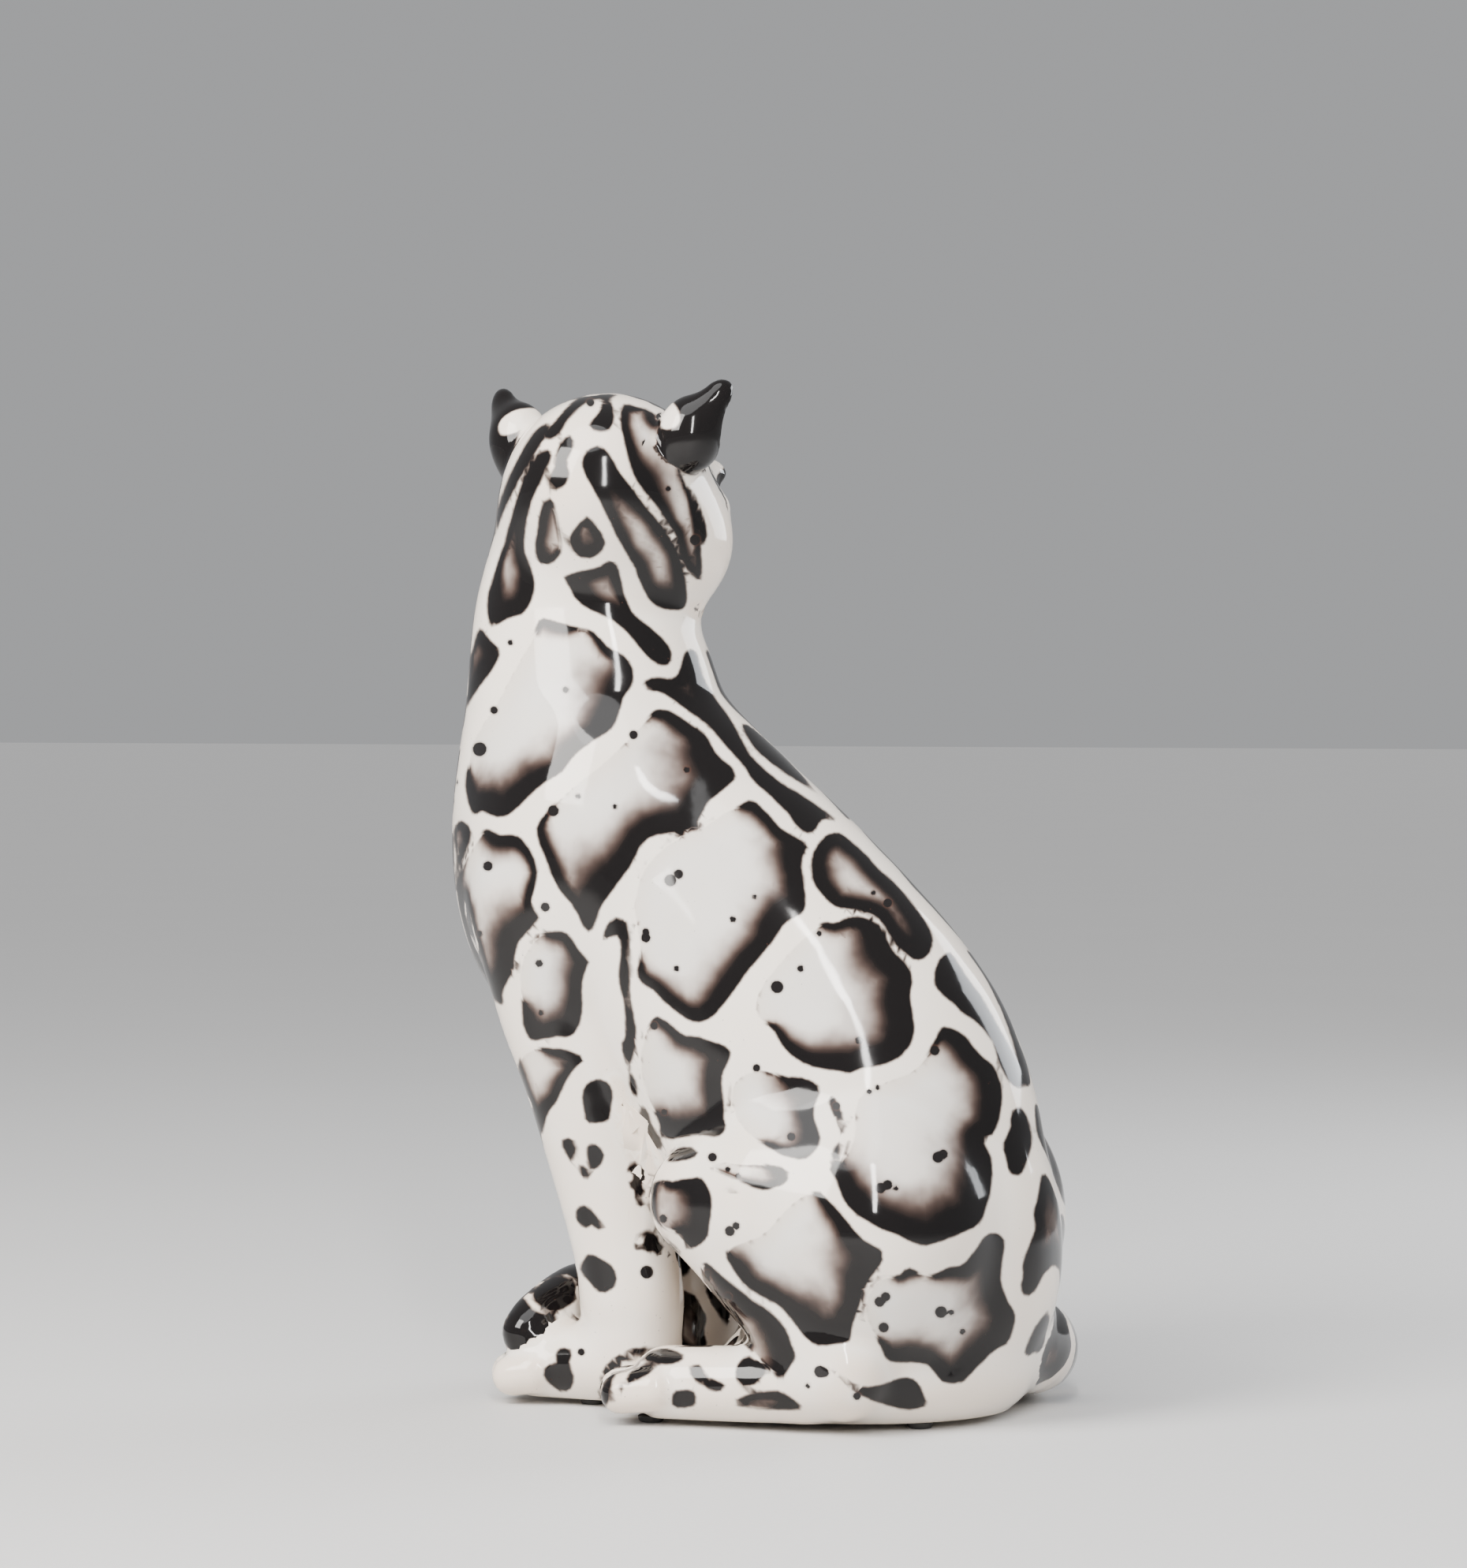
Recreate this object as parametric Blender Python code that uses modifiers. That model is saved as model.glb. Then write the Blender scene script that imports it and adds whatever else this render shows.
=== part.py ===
"""Television lamp in the form of a seated leopard.

A hollow glazed figure stands on four rubber pads. A steel plate closes the hand hole in its underside.
The lamp pipe clamps that plate to a crossbar inside, and carries the lampholder and its bulb, whose
light reaches the two glass eyes. The cat faces -Y, its left side is +X, and +Z is up.
"""
import math

import bmesh
import bpy
import numpy as np
from mathutils import Euler, Matrix, Vector

MM = 0.001

# ---- overall size ----------------------------------------------------------------------------------
FIGURE_HEIGHT = 500 * MM      # resting plane to the tip of the higher ear
FIGURE_WIDTH = 226 * MM       # across the haunch and the outside of the tail
DRAWN_HEIGHT = 500 * MM       # the size at which the masses below are drawn
DRAWN_WIDTH = 226 * MM

# ---- ceramic ---------------------------------------------------------------------------------------
WALL = 5.5 * MM               # slip-cast wall
FLOOR = 6 * MM                # thickness of the figure's floor
RECESS_DEPTH = 11.5 * MM      # the base plate and its nut lie in this recess
RECESS_RADIUS = 45 * MM
HAND_HOLE_RADIUS = 29 * MM
CLAY_VOXEL = 5 * MM
FIGURE_TRIANGLES = 4300
CAVITY_TRIANGLES = 1300

# ---- pads and clearances ---------------------------------------------------------------------------
GAP = 0.3 * MM                # between pieces that touch
PAD_RADIUS = 6.35 * MM
PAD_HEIGHT = 3.2 * MM
PAD_PLACES = {"paw": (33, -76), "front": (75, -24), "rear": (40, 100)}    # drawn size, mirrored

# ---- lamp hardware ---------------------------------------------------------------------------------
LAMP_AXIS = (0, 50)                       # drawn size
PIPE_RADIUS = 5 * MM
PIPE_BORE = 3.25 * MM
PIPE_FOOT = 5 * MM                        # lower end, above the resting plane
NUT_FLATS = 14 * MM
NUT_HEIGHT = 4 * MM
WASHER_RADIUS = 9 * MM
WASHER_THICKNESS = 1.2 * MM
PLATE_THICKNESS = 1.5 * MM
GASKET_THICKNESS = 1 * MM
GASKET_WIDTH = 9 * MM
CROSSBAR = Vector((76, 16, 2)) * MM

SOCKET_RADIUS = 16.5 * MM                 # outside of the brass shell
SOCKET_STANDOFF = 14 * MM                 # clear pipe between the crossbar nut and the lampholder
SHELL_THICKNESS = 0.7 * MM
LINER_THICKNESS = 1 * MM
CAP_HEIGHT = 22 * MM
SHELL_HEIGHT = 44 * MM
CORE_HEIGHT = 18 * MM
BULB_CAP_RADIUS = 12.9 * MM
BULB_RADIUS = 30 * MM
BULB_HEIGHT = 92 * MM                     # glass above the cap's rim
GLASS_THICKNESS = 1 * MM

EYE_RADIUS = 10 * MM
EYE_DEPTH = 7.5 * MM
EYE_AT = (21, -52.5, 7)                   # drawn size, in the head's frame
EYE_AIM = (8, 0, 20)                      # degrees: up, roll, outwards
EYE_RING_WIDTH = 3 * MM
EYE_RING_DEPTH = 2.5 * MM

CORD_HOLE_RADIUS = 7 * MM
CORD_RADIUS = 3.4 * MM
CORD_INLET_AT = (-86, 88, 74)             # drawn size, on the right haunch above the tail
GROMMET_FLANGE = 9.5 * MM
GROMMET_FLANGE_THICKNESS = 2.5 * MM

# ---- the figure's masses, drawn in millimetres -----------------------------------------------------
# A lump is (centre, radii, turn in degrees). A limb is (stations of x, y, z, radius; width factor).
HEAD_AT = (0, -80, 441)
HEAD_TURN = -98               # degrees about +Z: the cat looks over its right shoulder

BODY_LUMPS = {
    "rump": ((0, 74, 70), (68, 76, 80), (0, 0, 0)),
    "chest": ((0, -108, 262), (50, 55, 84), (0, 0, 0)),
    "seat": ((0, 60, 22), (82, 76, 32), (0, 0, 0)),
    "belly": ((0, 6, 130), (50, 56, 66), (0, 0, 0)),
}
PAIRED_LUMPS = {
    "shoulder": ((38, -82, 268), (34, 52, 70), (-14, 0, 0)),
    "haunch": ((54, 68, 88), (38, 62, 68), (0, 0, 0)),
}
BODY_LIMBS = {
    "trunk": ([(0, -90, 420, 50), (0, -98, 382, 54), (0, -93, 345, 62), (0, -86, 305, 71),
               (0, -59, 262, 83), (0, -9, 208, 91), (0, 38, 154, 93), (0, 64, 104, 82)], 0.8),
}
PAIRED_LIMBS = {
    "foreleg": ([(39, -98, 240, 36), (40, -91, 196, 29), (38, -81, 165, 27), (36, -73, 135, 25.5),
                 (34, -66, 107, 24.5), (33, -57, 70, 24), (33, -54, 40, 24)], 0.9),
    "forepaw": ([(33, -52, 22, 21), (34, -100, 19, 18.5)], 1.1),
    "thigh": ([(50, 72, 94, 62), (62, 38, 104, 46), (69, 2, 107, 27)], 0.85),
    "shin": ([(69, 3, 104, 25), (74, 75, 30, 24)], 0.9),
    "hindfoot": ([(74, 54, 22, 18), (76, -14, 19, 18)], 1.1),
}
TAIL = ([(-6, 112, 42, 25), (-46, 118, 31, 23), (-88, 104, 23, 20), (-114, 58, 20, 17),
         (-122, -8, 19, 16), (-108, -66, 21, 15.5), (-78, -98, 31, 15), (-44, -104, 42, 15),
         (-8, -102, 47, 15), (20, -103, 42, 14.5), (42, -108, 34, 12)], 1.0)
TOES = [(-15, 3), (-5, -2), (5.5, -1), (15.5, 5)]          # across the paw, along it
TOE_RADII = (10.5, 10)
FORETOES_AT = ((34, -100, 16), (34, -116, 14))
HINDTOES_AT = ((76, -14, 18), (76, -36, 15.5))

HEAD_LUMPS = {
    "skull": ((0, 6, 6), (50, 54, 48), (0, 0, 0)),
    "face": ((0, -28, -6), (36, 34, 36), (0, 0, 0)),
    "muzzle": ((0, -54, -17), (21, 24, 18), (0, 0, 0)),
    "nose": ((0, -75, -6), (8.5, 6, 6), (0, 0, 0)),
    "chin": ((0, -58, -35), (12, 14, 10), (0, 0, 0)),
    "jaw": ((0, -28, -34), (26, 32, 17), (0, 0, 0)),
}
HEAD_PAIRED_LUMPS = {
    "cheek": ((28, -14, -18), (25, 30, 30), (0, 0, 0)),
    "whisker_pad": ((9.5, -66, -20), (11.5, 12, 11.5), (0, 0, 0)),
    "brow": ((19, -40, 17), (14, 13, 9), (0, 0, 0)),
    "ear": ((51, 10, 32), (16.5, 15, 20), (0, 20, -33)),
    "ear_tip": ((62, 6, 46), (8.5, 7, 14), (0, 30, -33)),
}
HEAD_LIMBS = {"nose_bridge": ([(0, -30, 20, 18), (0, -66, 0, 9.5)], 1.0)}
EAR_HOLLOW = ((64, -1, 40), (13, 8, 18), (0, 20, -33))
HOLLOW_MASSES = ("rump", "chest", "seat", "belly", "shoulder", "haunch", "trunk", "thigh", "foreleg",
                  "skull")

STRETCH = Vector((FIGURE_WIDTH / DRAWN_WIDTH, FIGURE_HEIGHT / DRAWN_HEIGHT, FIGURE_HEIGHT / DRAWN_HEIGHT))
TURN = 2 * math.pi


# ---- scene, materials, small helpers ---------------------------------------------------------------
def clear_scene():
    for ob in list(bpy.data.objects):
        bpy.data.objects.remove(ob, do_unlink=True)


def new_collection(name):
    collection = bpy.data.collections.new(name)
    bpy.context.scene.collection.children.link(collection)
    return collection


def material(name, colour, roughness, metallic=0.0, transmission=0.0):
    mat = bpy.data.materials.new(name)
    mat.use_nodes = True
    shader = mat.node_tree.nodes["Principled BSDF"]
    shader.inputs["Base Color"].default_value = (*colour, 1.0)
    shader.inputs["Roughness"].default_value = roughness
    shader.inputs["Metallic"].default_value = metallic
    shader.inputs["Transmission Weight"].default_value = transmission
    return mat


def drawn(x, y, z=0.0):
    """A place given in millimetres at the drawn size, in metres on the real figure."""
    return Vector((x * STRETCH.x, y * STRETCH.y, z * STRETCH.z)) * MM


def add_object(name, mesh, mat, collection):
    ob = bpy.data.objects.new(name, mesh)
    collection.objects.link(ob)
    if mat:
        mesh.materials.append(mat)
    return ob


def add_cutter(name, mesh):
    ob = add_object(name, mesh, None, cutters)
    ob.hide_render = True
    ob.display_type = "WIRE"
    return ob


def cut(ob, cutter):
    mod = ob.modifiers.new(cutter.name, "BOOLEAN")
    mod.operation = "DIFFERENCE"
    mod.solver = "EXACT"
    mod.object = cutter


def evaluated_mesh(ob):
    graph = bpy.context.evaluated_depsgraph_get()
    return bpy.data.meshes.new_from_object(ob.evaluated_get(graph))


def smooth(mesh, angle=35):
    mesh.shade_smooth()
    mesh.set_sharp_from_angle(angle=math.radians(angle))


def cylinder_mesh(name, radius, height, segments=28, radius_top=None):
    """A cylinder or cone standing on z = 0."""
    bm = bmesh.new()
    top = radius if radius_top is None else radius_top
    bmesh.ops.create_cone(bm, cap_ends=True, segments=segments, radius1=radius, radius2=top, depth=height)
    bmesh.ops.translate(bm, verts=bm.verts, vec=(0, 0, height / 2))
    mesh = bpy.data.meshes.new(name)
    bm.to_mesh(mesh)
    bm.free()
    return mesh


def box_mesh(name, size):
    bm = bmesh.new()
    bmesh.ops.create_cube(bm, size=1)
    bmesh.ops.scale(bm, verts=bm.verts, vec=size)
    mesh = bpy.data.meshes.new(name)
    bm.to_mesh(mesh)
    bm.free()
    return mesh


def turned(name, profile, mat, collection, closed=False, segments=24):
    """A solid of revolution about its Z axis. The profile is (radius, height) points that run down the
    outer side; a closed one is a ring's section, an open one starts and ends on the axis."""
    mesh = bpy.data.meshes.new(name)
    bm = bmesh.new()
    verts = [bm.verts.new((r, 0, z)) for r, z in profile]
    for a, b in zip(verts, verts[1:]):
        bm.edges.new((a, b))
    if closed:
        bm.edges.new((verts[-1], verts[0]))
    bm.to_mesh(mesh)
    bm.free()
    ob = add_object(name, mesh, mat, collection)
    screw = ob.modifiers.new("turn", "SCREW")
    screw.axis = "Z"
    screw.angle = TURN
    screw.steps = segments
    screw.render_steps = segments
    screw.use_merge_vertices = True
    screw.merge_threshold = 0.00001
    screw.use_smooth_shade = True
    return ob


def ring(name, inner, outer, low, high, mat, segments=24):
    """A plain ring: washer, tube, gasket or liner."""
    profile = [(outer, high), (outer, low), (inner, low), (inner, high)]
    return turned(name, profile, mat, lamp, closed=True, segments=segments)


# ---- the figure ------------------------------------------------------------------------------------
def unit_ball():
    bm = bmesh.new()
    bmesh.ops.create_uvsphere(bm, u_segments=20, v_segments=12, radius=1)
    mesh = bpy.data.meshes.new("ball")
    bm.to_mesh(mesh)
    bm.free()
    return mesh


def lump_pieces(lump, frame, side, shrink):
    """One ellipsoid, as a mesh in metres."""
    centre, radii, turn = lump
    centre = Vector((centre[0] * side, centre[1], centre[2]))
    angles = Euler([math.radians(a) for a in (turn[0], turn[1] * side, turn[2] * side)])
    ball = unit_ball()
    size = Matrix.Diagonal([*(r - shrink for r in radii), 1])
    ball.transform(frame @ Matrix.Translation(centre) @ angles.to_matrix().to_4x4() @ size)
    return [ball]


def limb_pieces(limb, frame, side, shrink):
    """Balls at the stations and cones between them, squeezed or widened across the cat."""
    stations, width = limb
    places = [Vector((x * side, y, z)) for x, y, z, _ in stations]
    radii = [r - shrink for *_, r in stations]
    middle = sum(p.x for p in places) / len(places)
    widen = Matrix.Translation((middle, 0, 0)) @ Matrix.Diagonal((width, 1, 1, 1))
    for p in places:
        p.x = (p.x - middle) / width
    meshes = []
    for p, r in zip(places, radii):
        ball = unit_ball()
        ball.transform(frame @ widen @ Matrix.Translation(p) @ Matrix.Diagonal((r, r, r, 1)))
        meshes.append(ball)
    for a, b, ra, rb in zip(places, places[1:], radii, radii[1:]):
        along = b - a
        cone = cylinder_mesh("cone", ra, along.length, 20, rb)
        cone.transform(frame @ widen @ Matrix.Translation(a) @ along.to_track_quat("Z", "Y").to_matrix().to_4x4())
        meshes.append(cone)
    return meshes


def toe_limbs(places):
    (x0, y0, z0), (x1, y1, z1) = places
    for across, along in TOES:
        start = (x0 + across, y0, z0, TOE_RADII[0])
        yield [start, (x1 + across * 1.1, y1 + along, z1, TOE_RADII[1])], 1.0


def clay_meshes(shrink=0.0, only=None):
    """Every mass of the figure as overlapping closed meshes, each smaller by shrink millimetres."""
    body = Matrix.Identity(4)
    head = Matrix.Translation(HEAD_AT) @ Matrix.Rotation(math.radians(HEAD_TURN), 4, "Z")

    def wanted(name):
        return only is None or name in only

    meshes = []
    for table, frame, sides in ((BODY_LUMPS, body, (1,)), (PAIRED_LUMPS, body, (1, -1)),
                                (HEAD_LUMPS, head, (1,)), (HEAD_PAIRED_LUMPS, head, (1, -1))):
        for name, lump in table.items():
            for side in sides:
                meshes += lump_pieces(lump, frame, side, shrink) if wanted(name) else []
    for table, frame, sides in ((BODY_LIMBS, body, (1,)), (PAIRED_LIMBS, body, (1, -1)),
                                (HEAD_LIMBS, head, (1,))):
        for name, limb in table.items():
            for side in sides:
                meshes += limb_pieces(limb, frame, side, shrink) if wanted(name) else []
    if wanted("tail"):
        meshes += limb_pieces(TAIL, body, 1, shrink)
    if wanted("toes"):
        for limb in [*toe_limbs(FORETOES_AT), *toe_limbs(HINDTOES_AT)]:
            for side in (1, -1):
                meshes += limb_pieces(limb, body, side, shrink)
    return meshes


def modelled_clay(name, meshes, triangles, voxel, collection):
    """The overlapping masses as one smooth skin with about the given number of triangles."""
    bpy.ops.object.select_all(action="DESELECT")
    pieces = [add_object("piece", mesh, None, collection) for mesh in meshes]
    for piece in pieces:
        piece.select_set(True)
    bpy.context.view_layer.objects.active = pieces[0]
    bpy.ops.object.join()
    lumps = pieces[0]
    lumps.data.transform(Matrix.Diagonal([*(STRETCH * MM), 1]))
    remesh = lumps.modifiers.new("skin", "REMESH")
    remesh.mode = "VOXEL"
    remesh.voxel_size = voxel
    even = lumps.modifiers.new("even", "SMOOTH")
    even.factor = 0.5
    even.iterations = 6
    skin = evaluated_mesh(lumps)
    bpy.data.objects.remove(lumps)
    skin.name = name
    ob = add_object(name, skin, None, collection)
    fewer = ob.modifiers.new("fewer", "DECIMATE")
    fewer.ratio = min(1.0, triangles / (2 * len(skin.polygons)))
    return ob


def ear_hollows():
    head = Matrix.Translation(HEAD_AT) @ Matrix.Rotation(math.radians(HEAD_TURN), 4, "Z")
    for side, name in ((1, "left_ear_hollow"), (-1, "right_ear_hollow")):
        mesh = lump_pieces(EAR_HOLLOW, head, side, 0)[0]
        mesh.transform(Matrix.Diagonal([*(STRETCH * MM), 1]))
        yield add_cutter(name, mesh)


def eye_frame(side):
    """Where an eye sits: its +Z is the way it looks, its origin the front of its rim."""
    turn = Matrix.Rotation(math.radians(HEAD_TURN), 4, "Z")
    at = Matrix.Translation(HEAD_AT) @ turn @ Vector((EYE_AT[0] * side, EYE_AT[1], EYE_AT[2]))
    up, _, out = (math.radians(a) for a in EYE_AIM)
    gaze = turn @ Vector((math.sin(out) * side * math.cos(up), -math.cos(out) * math.cos(up), math.sin(up)))
    aim = gaze.to_track_quat("Z", "Y").to_matrix().to_4x4()
    return Matrix.Translation(drawn(*at)) @ aim


def figure(glaze):
    """The ceramic: outer form less ground, cavity, recess, hand hole, eye holes and cord hole."""
    body = modelled_clay("ceramic_figure", clay_meshes(), FIGURE_TRIANGLES, CLAY_VOXEL, lamp)
    body.data.materials.append(glaze)
    for hollow in ear_hollows():
        cut(body, hollow)
    axis = drawn(*LAMP_AXIS)

    ground = add_cutter("ground", box_mesh("ground", (1, 1, 0.1)))
    ground.location = (0, 0, UNDERSIDE - 0.05)
    cut(body, ground)

    cavity = modelled_clay("cavity", clay_meshes(WALL / MM, HOLLOW_MASSES), CAVITY_TRIANGLES, CLAY_VOXEL, cutters)
    cavity.hide_render = True
    cavity.display_type = "WIRE"
    floor_block = add_cutter("floor_block", box_mesh("floor_block", (1, 1, 0.2)))
    floor_block.location = (0, 0, FLOOR_TOP - 0.1)
    cut(cavity, floor_block)
    cut(body, cavity)

    for name, radius, low, high in (("recess", RECESS_RADIUS, 0, RECESS_TOP),
                                    ("hand_hole", HAND_HOLE_RADIUS, RECESS_TOP / 2, FLOOR_TOP + FLOOR)):
        hole = add_cutter(name, cylinder_mesh(name, radius, high - low, 40))
        hole.location = (axis.x, axis.y, low)
        cut(body, hole)

    for side, name in ((1, "left_eye_hole"), (-1, "right_eye_hole")):
        hole = add_cutter(name, cylinder_mesh(name, EYE_RADIUS + GAP, 40 * MM, 28))
        hole.matrix_world = eye_frame(side) @ Matrix.Translation((0, 0, -30 * MM))
        cut(body, hole)

    for name, radius, start, reach in (("cord_hole", CORD_HOLE_RADIUS, 0, 30 * MM),
                                       ("cord_seat", GROMMET_FLANGE + GAP, -20 * MM, 20 * MM)):
        hole = add_cutter(name, cylinder_mesh(name, radius, reach, 24))
        hole.location = CORD_INLET + Vector((start, 0, 0))
        hole.rotation_euler = (0, math.pi / 2, 0)
        cut(body, hole)
    return body


def eyes(glass, plaster):
    dome = [(0, 3.2 * MM), (3.4 * MM, 2.9 * MM), (6.4 * MM, 2.0 * MM), (8.7 * MM, 0.7 * MM)]
    dome = [(r * EYE_RADIUS / (10 * MM), z) for r, z in dome]
    profile = [*dome, (EYE_RADIUS, -0.6 * MM), (EYE_RADIUS, -EYE_DEPTH), (0, -EYE_DEPTH)]
    for side, name in ((1, "left"), (-1, "right")):
        eye = turned("eye_" + name, profile, glass, lamp)
        eye.matrix_world = eye_frame(side)
        back = -EYE_DEPTH - GAP
        bed = ring("eye_ring_" + name, EYE_RADIUS - EYE_RING_WIDTH, EYE_RADIUS, back - EYE_RING_DEPTH, back,
                   plaster)
        bed.matrix_world = eye_frame(side)


def pads(rubber):
    mesh = cylinder_mesh("pad", PAD_RADIUS, PAD_HEIGHT)
    mesh.materials.append(rubber)
    for end, (x, y) in PAD_PLACES.items():
        for side, name in ((1, "left"), (-1, "right")):
            pad = add_object("pad_%s_%s" % (end, name), mesh, None, lamp)
            pad.location = drawn(x * side, y)


def grommet(rubber):
    neck = CORD_HOLE_RADIUS - GAP
    reach = WALL + 2 * MM
    profile = [(CORD_RADIUS + 1.5 * MM, GROMMET_FLANGE_THICKNESS + 1 * MM), (GROMMET_FLANGE - 1 * MM,
               GROMMET_FLANGE_THICKNESS), (GROMMET_FLANGE, GROMMET_FLANGE_THICKNESS - 1 * MM),
               (GROMMET_FLANGE, GAP), (neck, GAP), (neck, -reach), (CORD_RADIUS, -reach),
               (CORD_RADIUS, GROMMET_FLANGE_THICKNESS)]
    ob = turned("cord_grommet", profile, rubber, lamp, closed=True)
    ob.location = CORD_INLET
    ob.rotation_euler = (0, -math.pi / 2, 0)


# ---- the lamp inside -------------------------------------------------------------------------------
def on_axis(ob, height=0.0):
    ob.location = drawn(*LAMP_AXIS) + Vector((0, 0, height))
    return ob


def hex_nut(name, low, steel, bore):
    """A hexagon nut that stands on z = low of the lamp's axis."""
    radius = NUT_FLATS / 2 / math.cos(math.pi / 6)
    nut = on_axis(add_object(name, cylinder_mesh(name, radius, NUT_HEIGHT, 6), steel, lamp), low)
    cut(nut, bore)


def underside_hardware(steel, zinc, gasket_rubber, bore):
    """From the recess's ceiling down: gasket, plate, washer and nut. Returns the nut's lower face."""
    outer = RECESS_RADIUS - 2 * MM
    top = RECESS_TOP - GAP
    on_axis(ring("base_gasket", outer - GASKET_WIDTH, outer, top - GASKET_THICKNESS, top, gasket_rubber, 36))
    top -= GASKET_THICKNESS + GAP
    hole = PIPE_RADIUS + GAP
    on_axis(ring("base_plate", hole, outer, top - PLATE_THICKNESS, top, zinc, 36))
    top -= PLATE_THICKNESS + GAP
    on_axis(ring("base_washer", hole, WASHER_RADIUS, top - WASHER_THICKNESS, top, steel))
    top -= WASHER_THICKNESS + GAP
    hex_nut("base_nut", top - NUT_HEIGHT, steel, bore)


def crossbar_hardware(steel, zinc, bore):
    """The bar across the hand hole, its washer and its nut. Returns the height of the nut's top."""
    low = FLOOR_TOP + GAP
    bar = on_axis(add_object("crossbar", box_mesh("crossbar", CROSSBAR), zinc, lamp), low + CROSSBAR.z / 2)
    edge = bar.modifiers.new("edge", "BEVEL")
    edge.width = 0.4 * MM
    edge.segments = 2
    cut(bar, bore)
    low += CROSSBAR.z + GAP
    on_axis(ring("crossbar_washer", PIPE_RADIUS + GAP, WASHER_RADIUS, low, low + WASHER_THICKNESS, steel))
    low += WASHER_THICKNESS + GAP
    hex_nut("crossbar_nut", low, steel, bore)
    return low + NUT_HEIGHT


def lampholder(low, brass, card, porcelain, steel, bore):
    """The lampholder on top of the pipe. Returns the height of its centre contact's top."""
    hex_nut("socket_lock_nut", low - GAP - NUT_HEIGHT, steel, bore)
    wall = SHELL_THICKNESS
    shell_low = low + CAP_HEIGHT - 7 * MM
    mouth = SOCKET_RADIUS + GAP                 # inside of the cap's rim
    collar = PIPE_RADIUS + GAP
    top = low + CAP_HEIGHT
    outside = [(mouth + wall, top), (mouth + wall, low + 14 * MM), (mouth - 2 * MM, low + 9 * MM),
               (mouth - 7 * MM, low + 5 * MM), (collar + 2 * MM, low + 4 * MM), (collar + 2 * MM, low)]
    inside = [(collar, low), (collar, low + 5 * MM), (mouth - 7.6 * MM, low + 6 * MM),
              (mouth - 2.6 * MM, low + 10 * MM), (mouth, low + 14.4 * MM), (mouth, top)]
    on_axis(turned("socket_cap", outside + inside, brass, lamp, closed=True))

    bead = 1 * MM
    top = shell_low + SHELL_HEIGHT
    inner = SOCKET_RADIUS - wall
    profile = [(SOCKET_RADIUS + bead, top), (SOCKET_RADIUS + bead, top - 2 * bead),
               (SOCKET_RADIUS, top - 3 * bead), (SOCKET_RADIUS, shell_low), (inner, shell_low),
               (inner, top)]
    on_axis(turned("socket_shell", profile, brass, lamp, closed=True))
    liner = inner - GAP
    on_axis(ring("socket_liner", liner - LINER_THICKNESS, liner, shell_low + 1 * MM, top - 3 * MM, card))

    core_radius = liner - LINER_THICKNESS - GAP
    core_top = shell_low + CORE_HEIGHT
    core = [(0, core_top), (core_radius, core_top), (core_radius, shell_low + 3 * MM),
            (core_radius - 3 * MM, shell_low), (0, shell_low)]
    on_axis(turned("socket_core", core, porcelain, lamp))
    on_axis(ring("screw_shell", BULB_CAP_RADIUS + GAP, BULB_CAP_RADIUS + GAP + 0.5 * MM, core_top + GAP,
                 top - 3 * MM, brass))
    contact = [(0, core_top + GAP + 1.2 * MM), (4 * MM, core_top + GAP + 1.2 * MM), (4.5 * MM, core_top + GAP),
               (0, core_top + GAP)]
    on_axis(turned("centre_contact", contact, brass, lamp))
    for side, name in ((1, "live"), (-1, "neutral")):
        screw = [(0, 0), (2.2 * MM, 0), (3 * MM, -0.6 * MM), (3 * MM, -1.8 * MM), (0, -1.8 * MM)]
        head = turned("terminal_" + name, screw, brass, lamp)
        head.rotation_euler = (math.pi, 0, 0)
        on_axis(head, shell_low - GAP - 1.8 * MM)
        head.location.x += side * 6 * MM
    return core_top + GAP + 1.2 * MM


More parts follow.
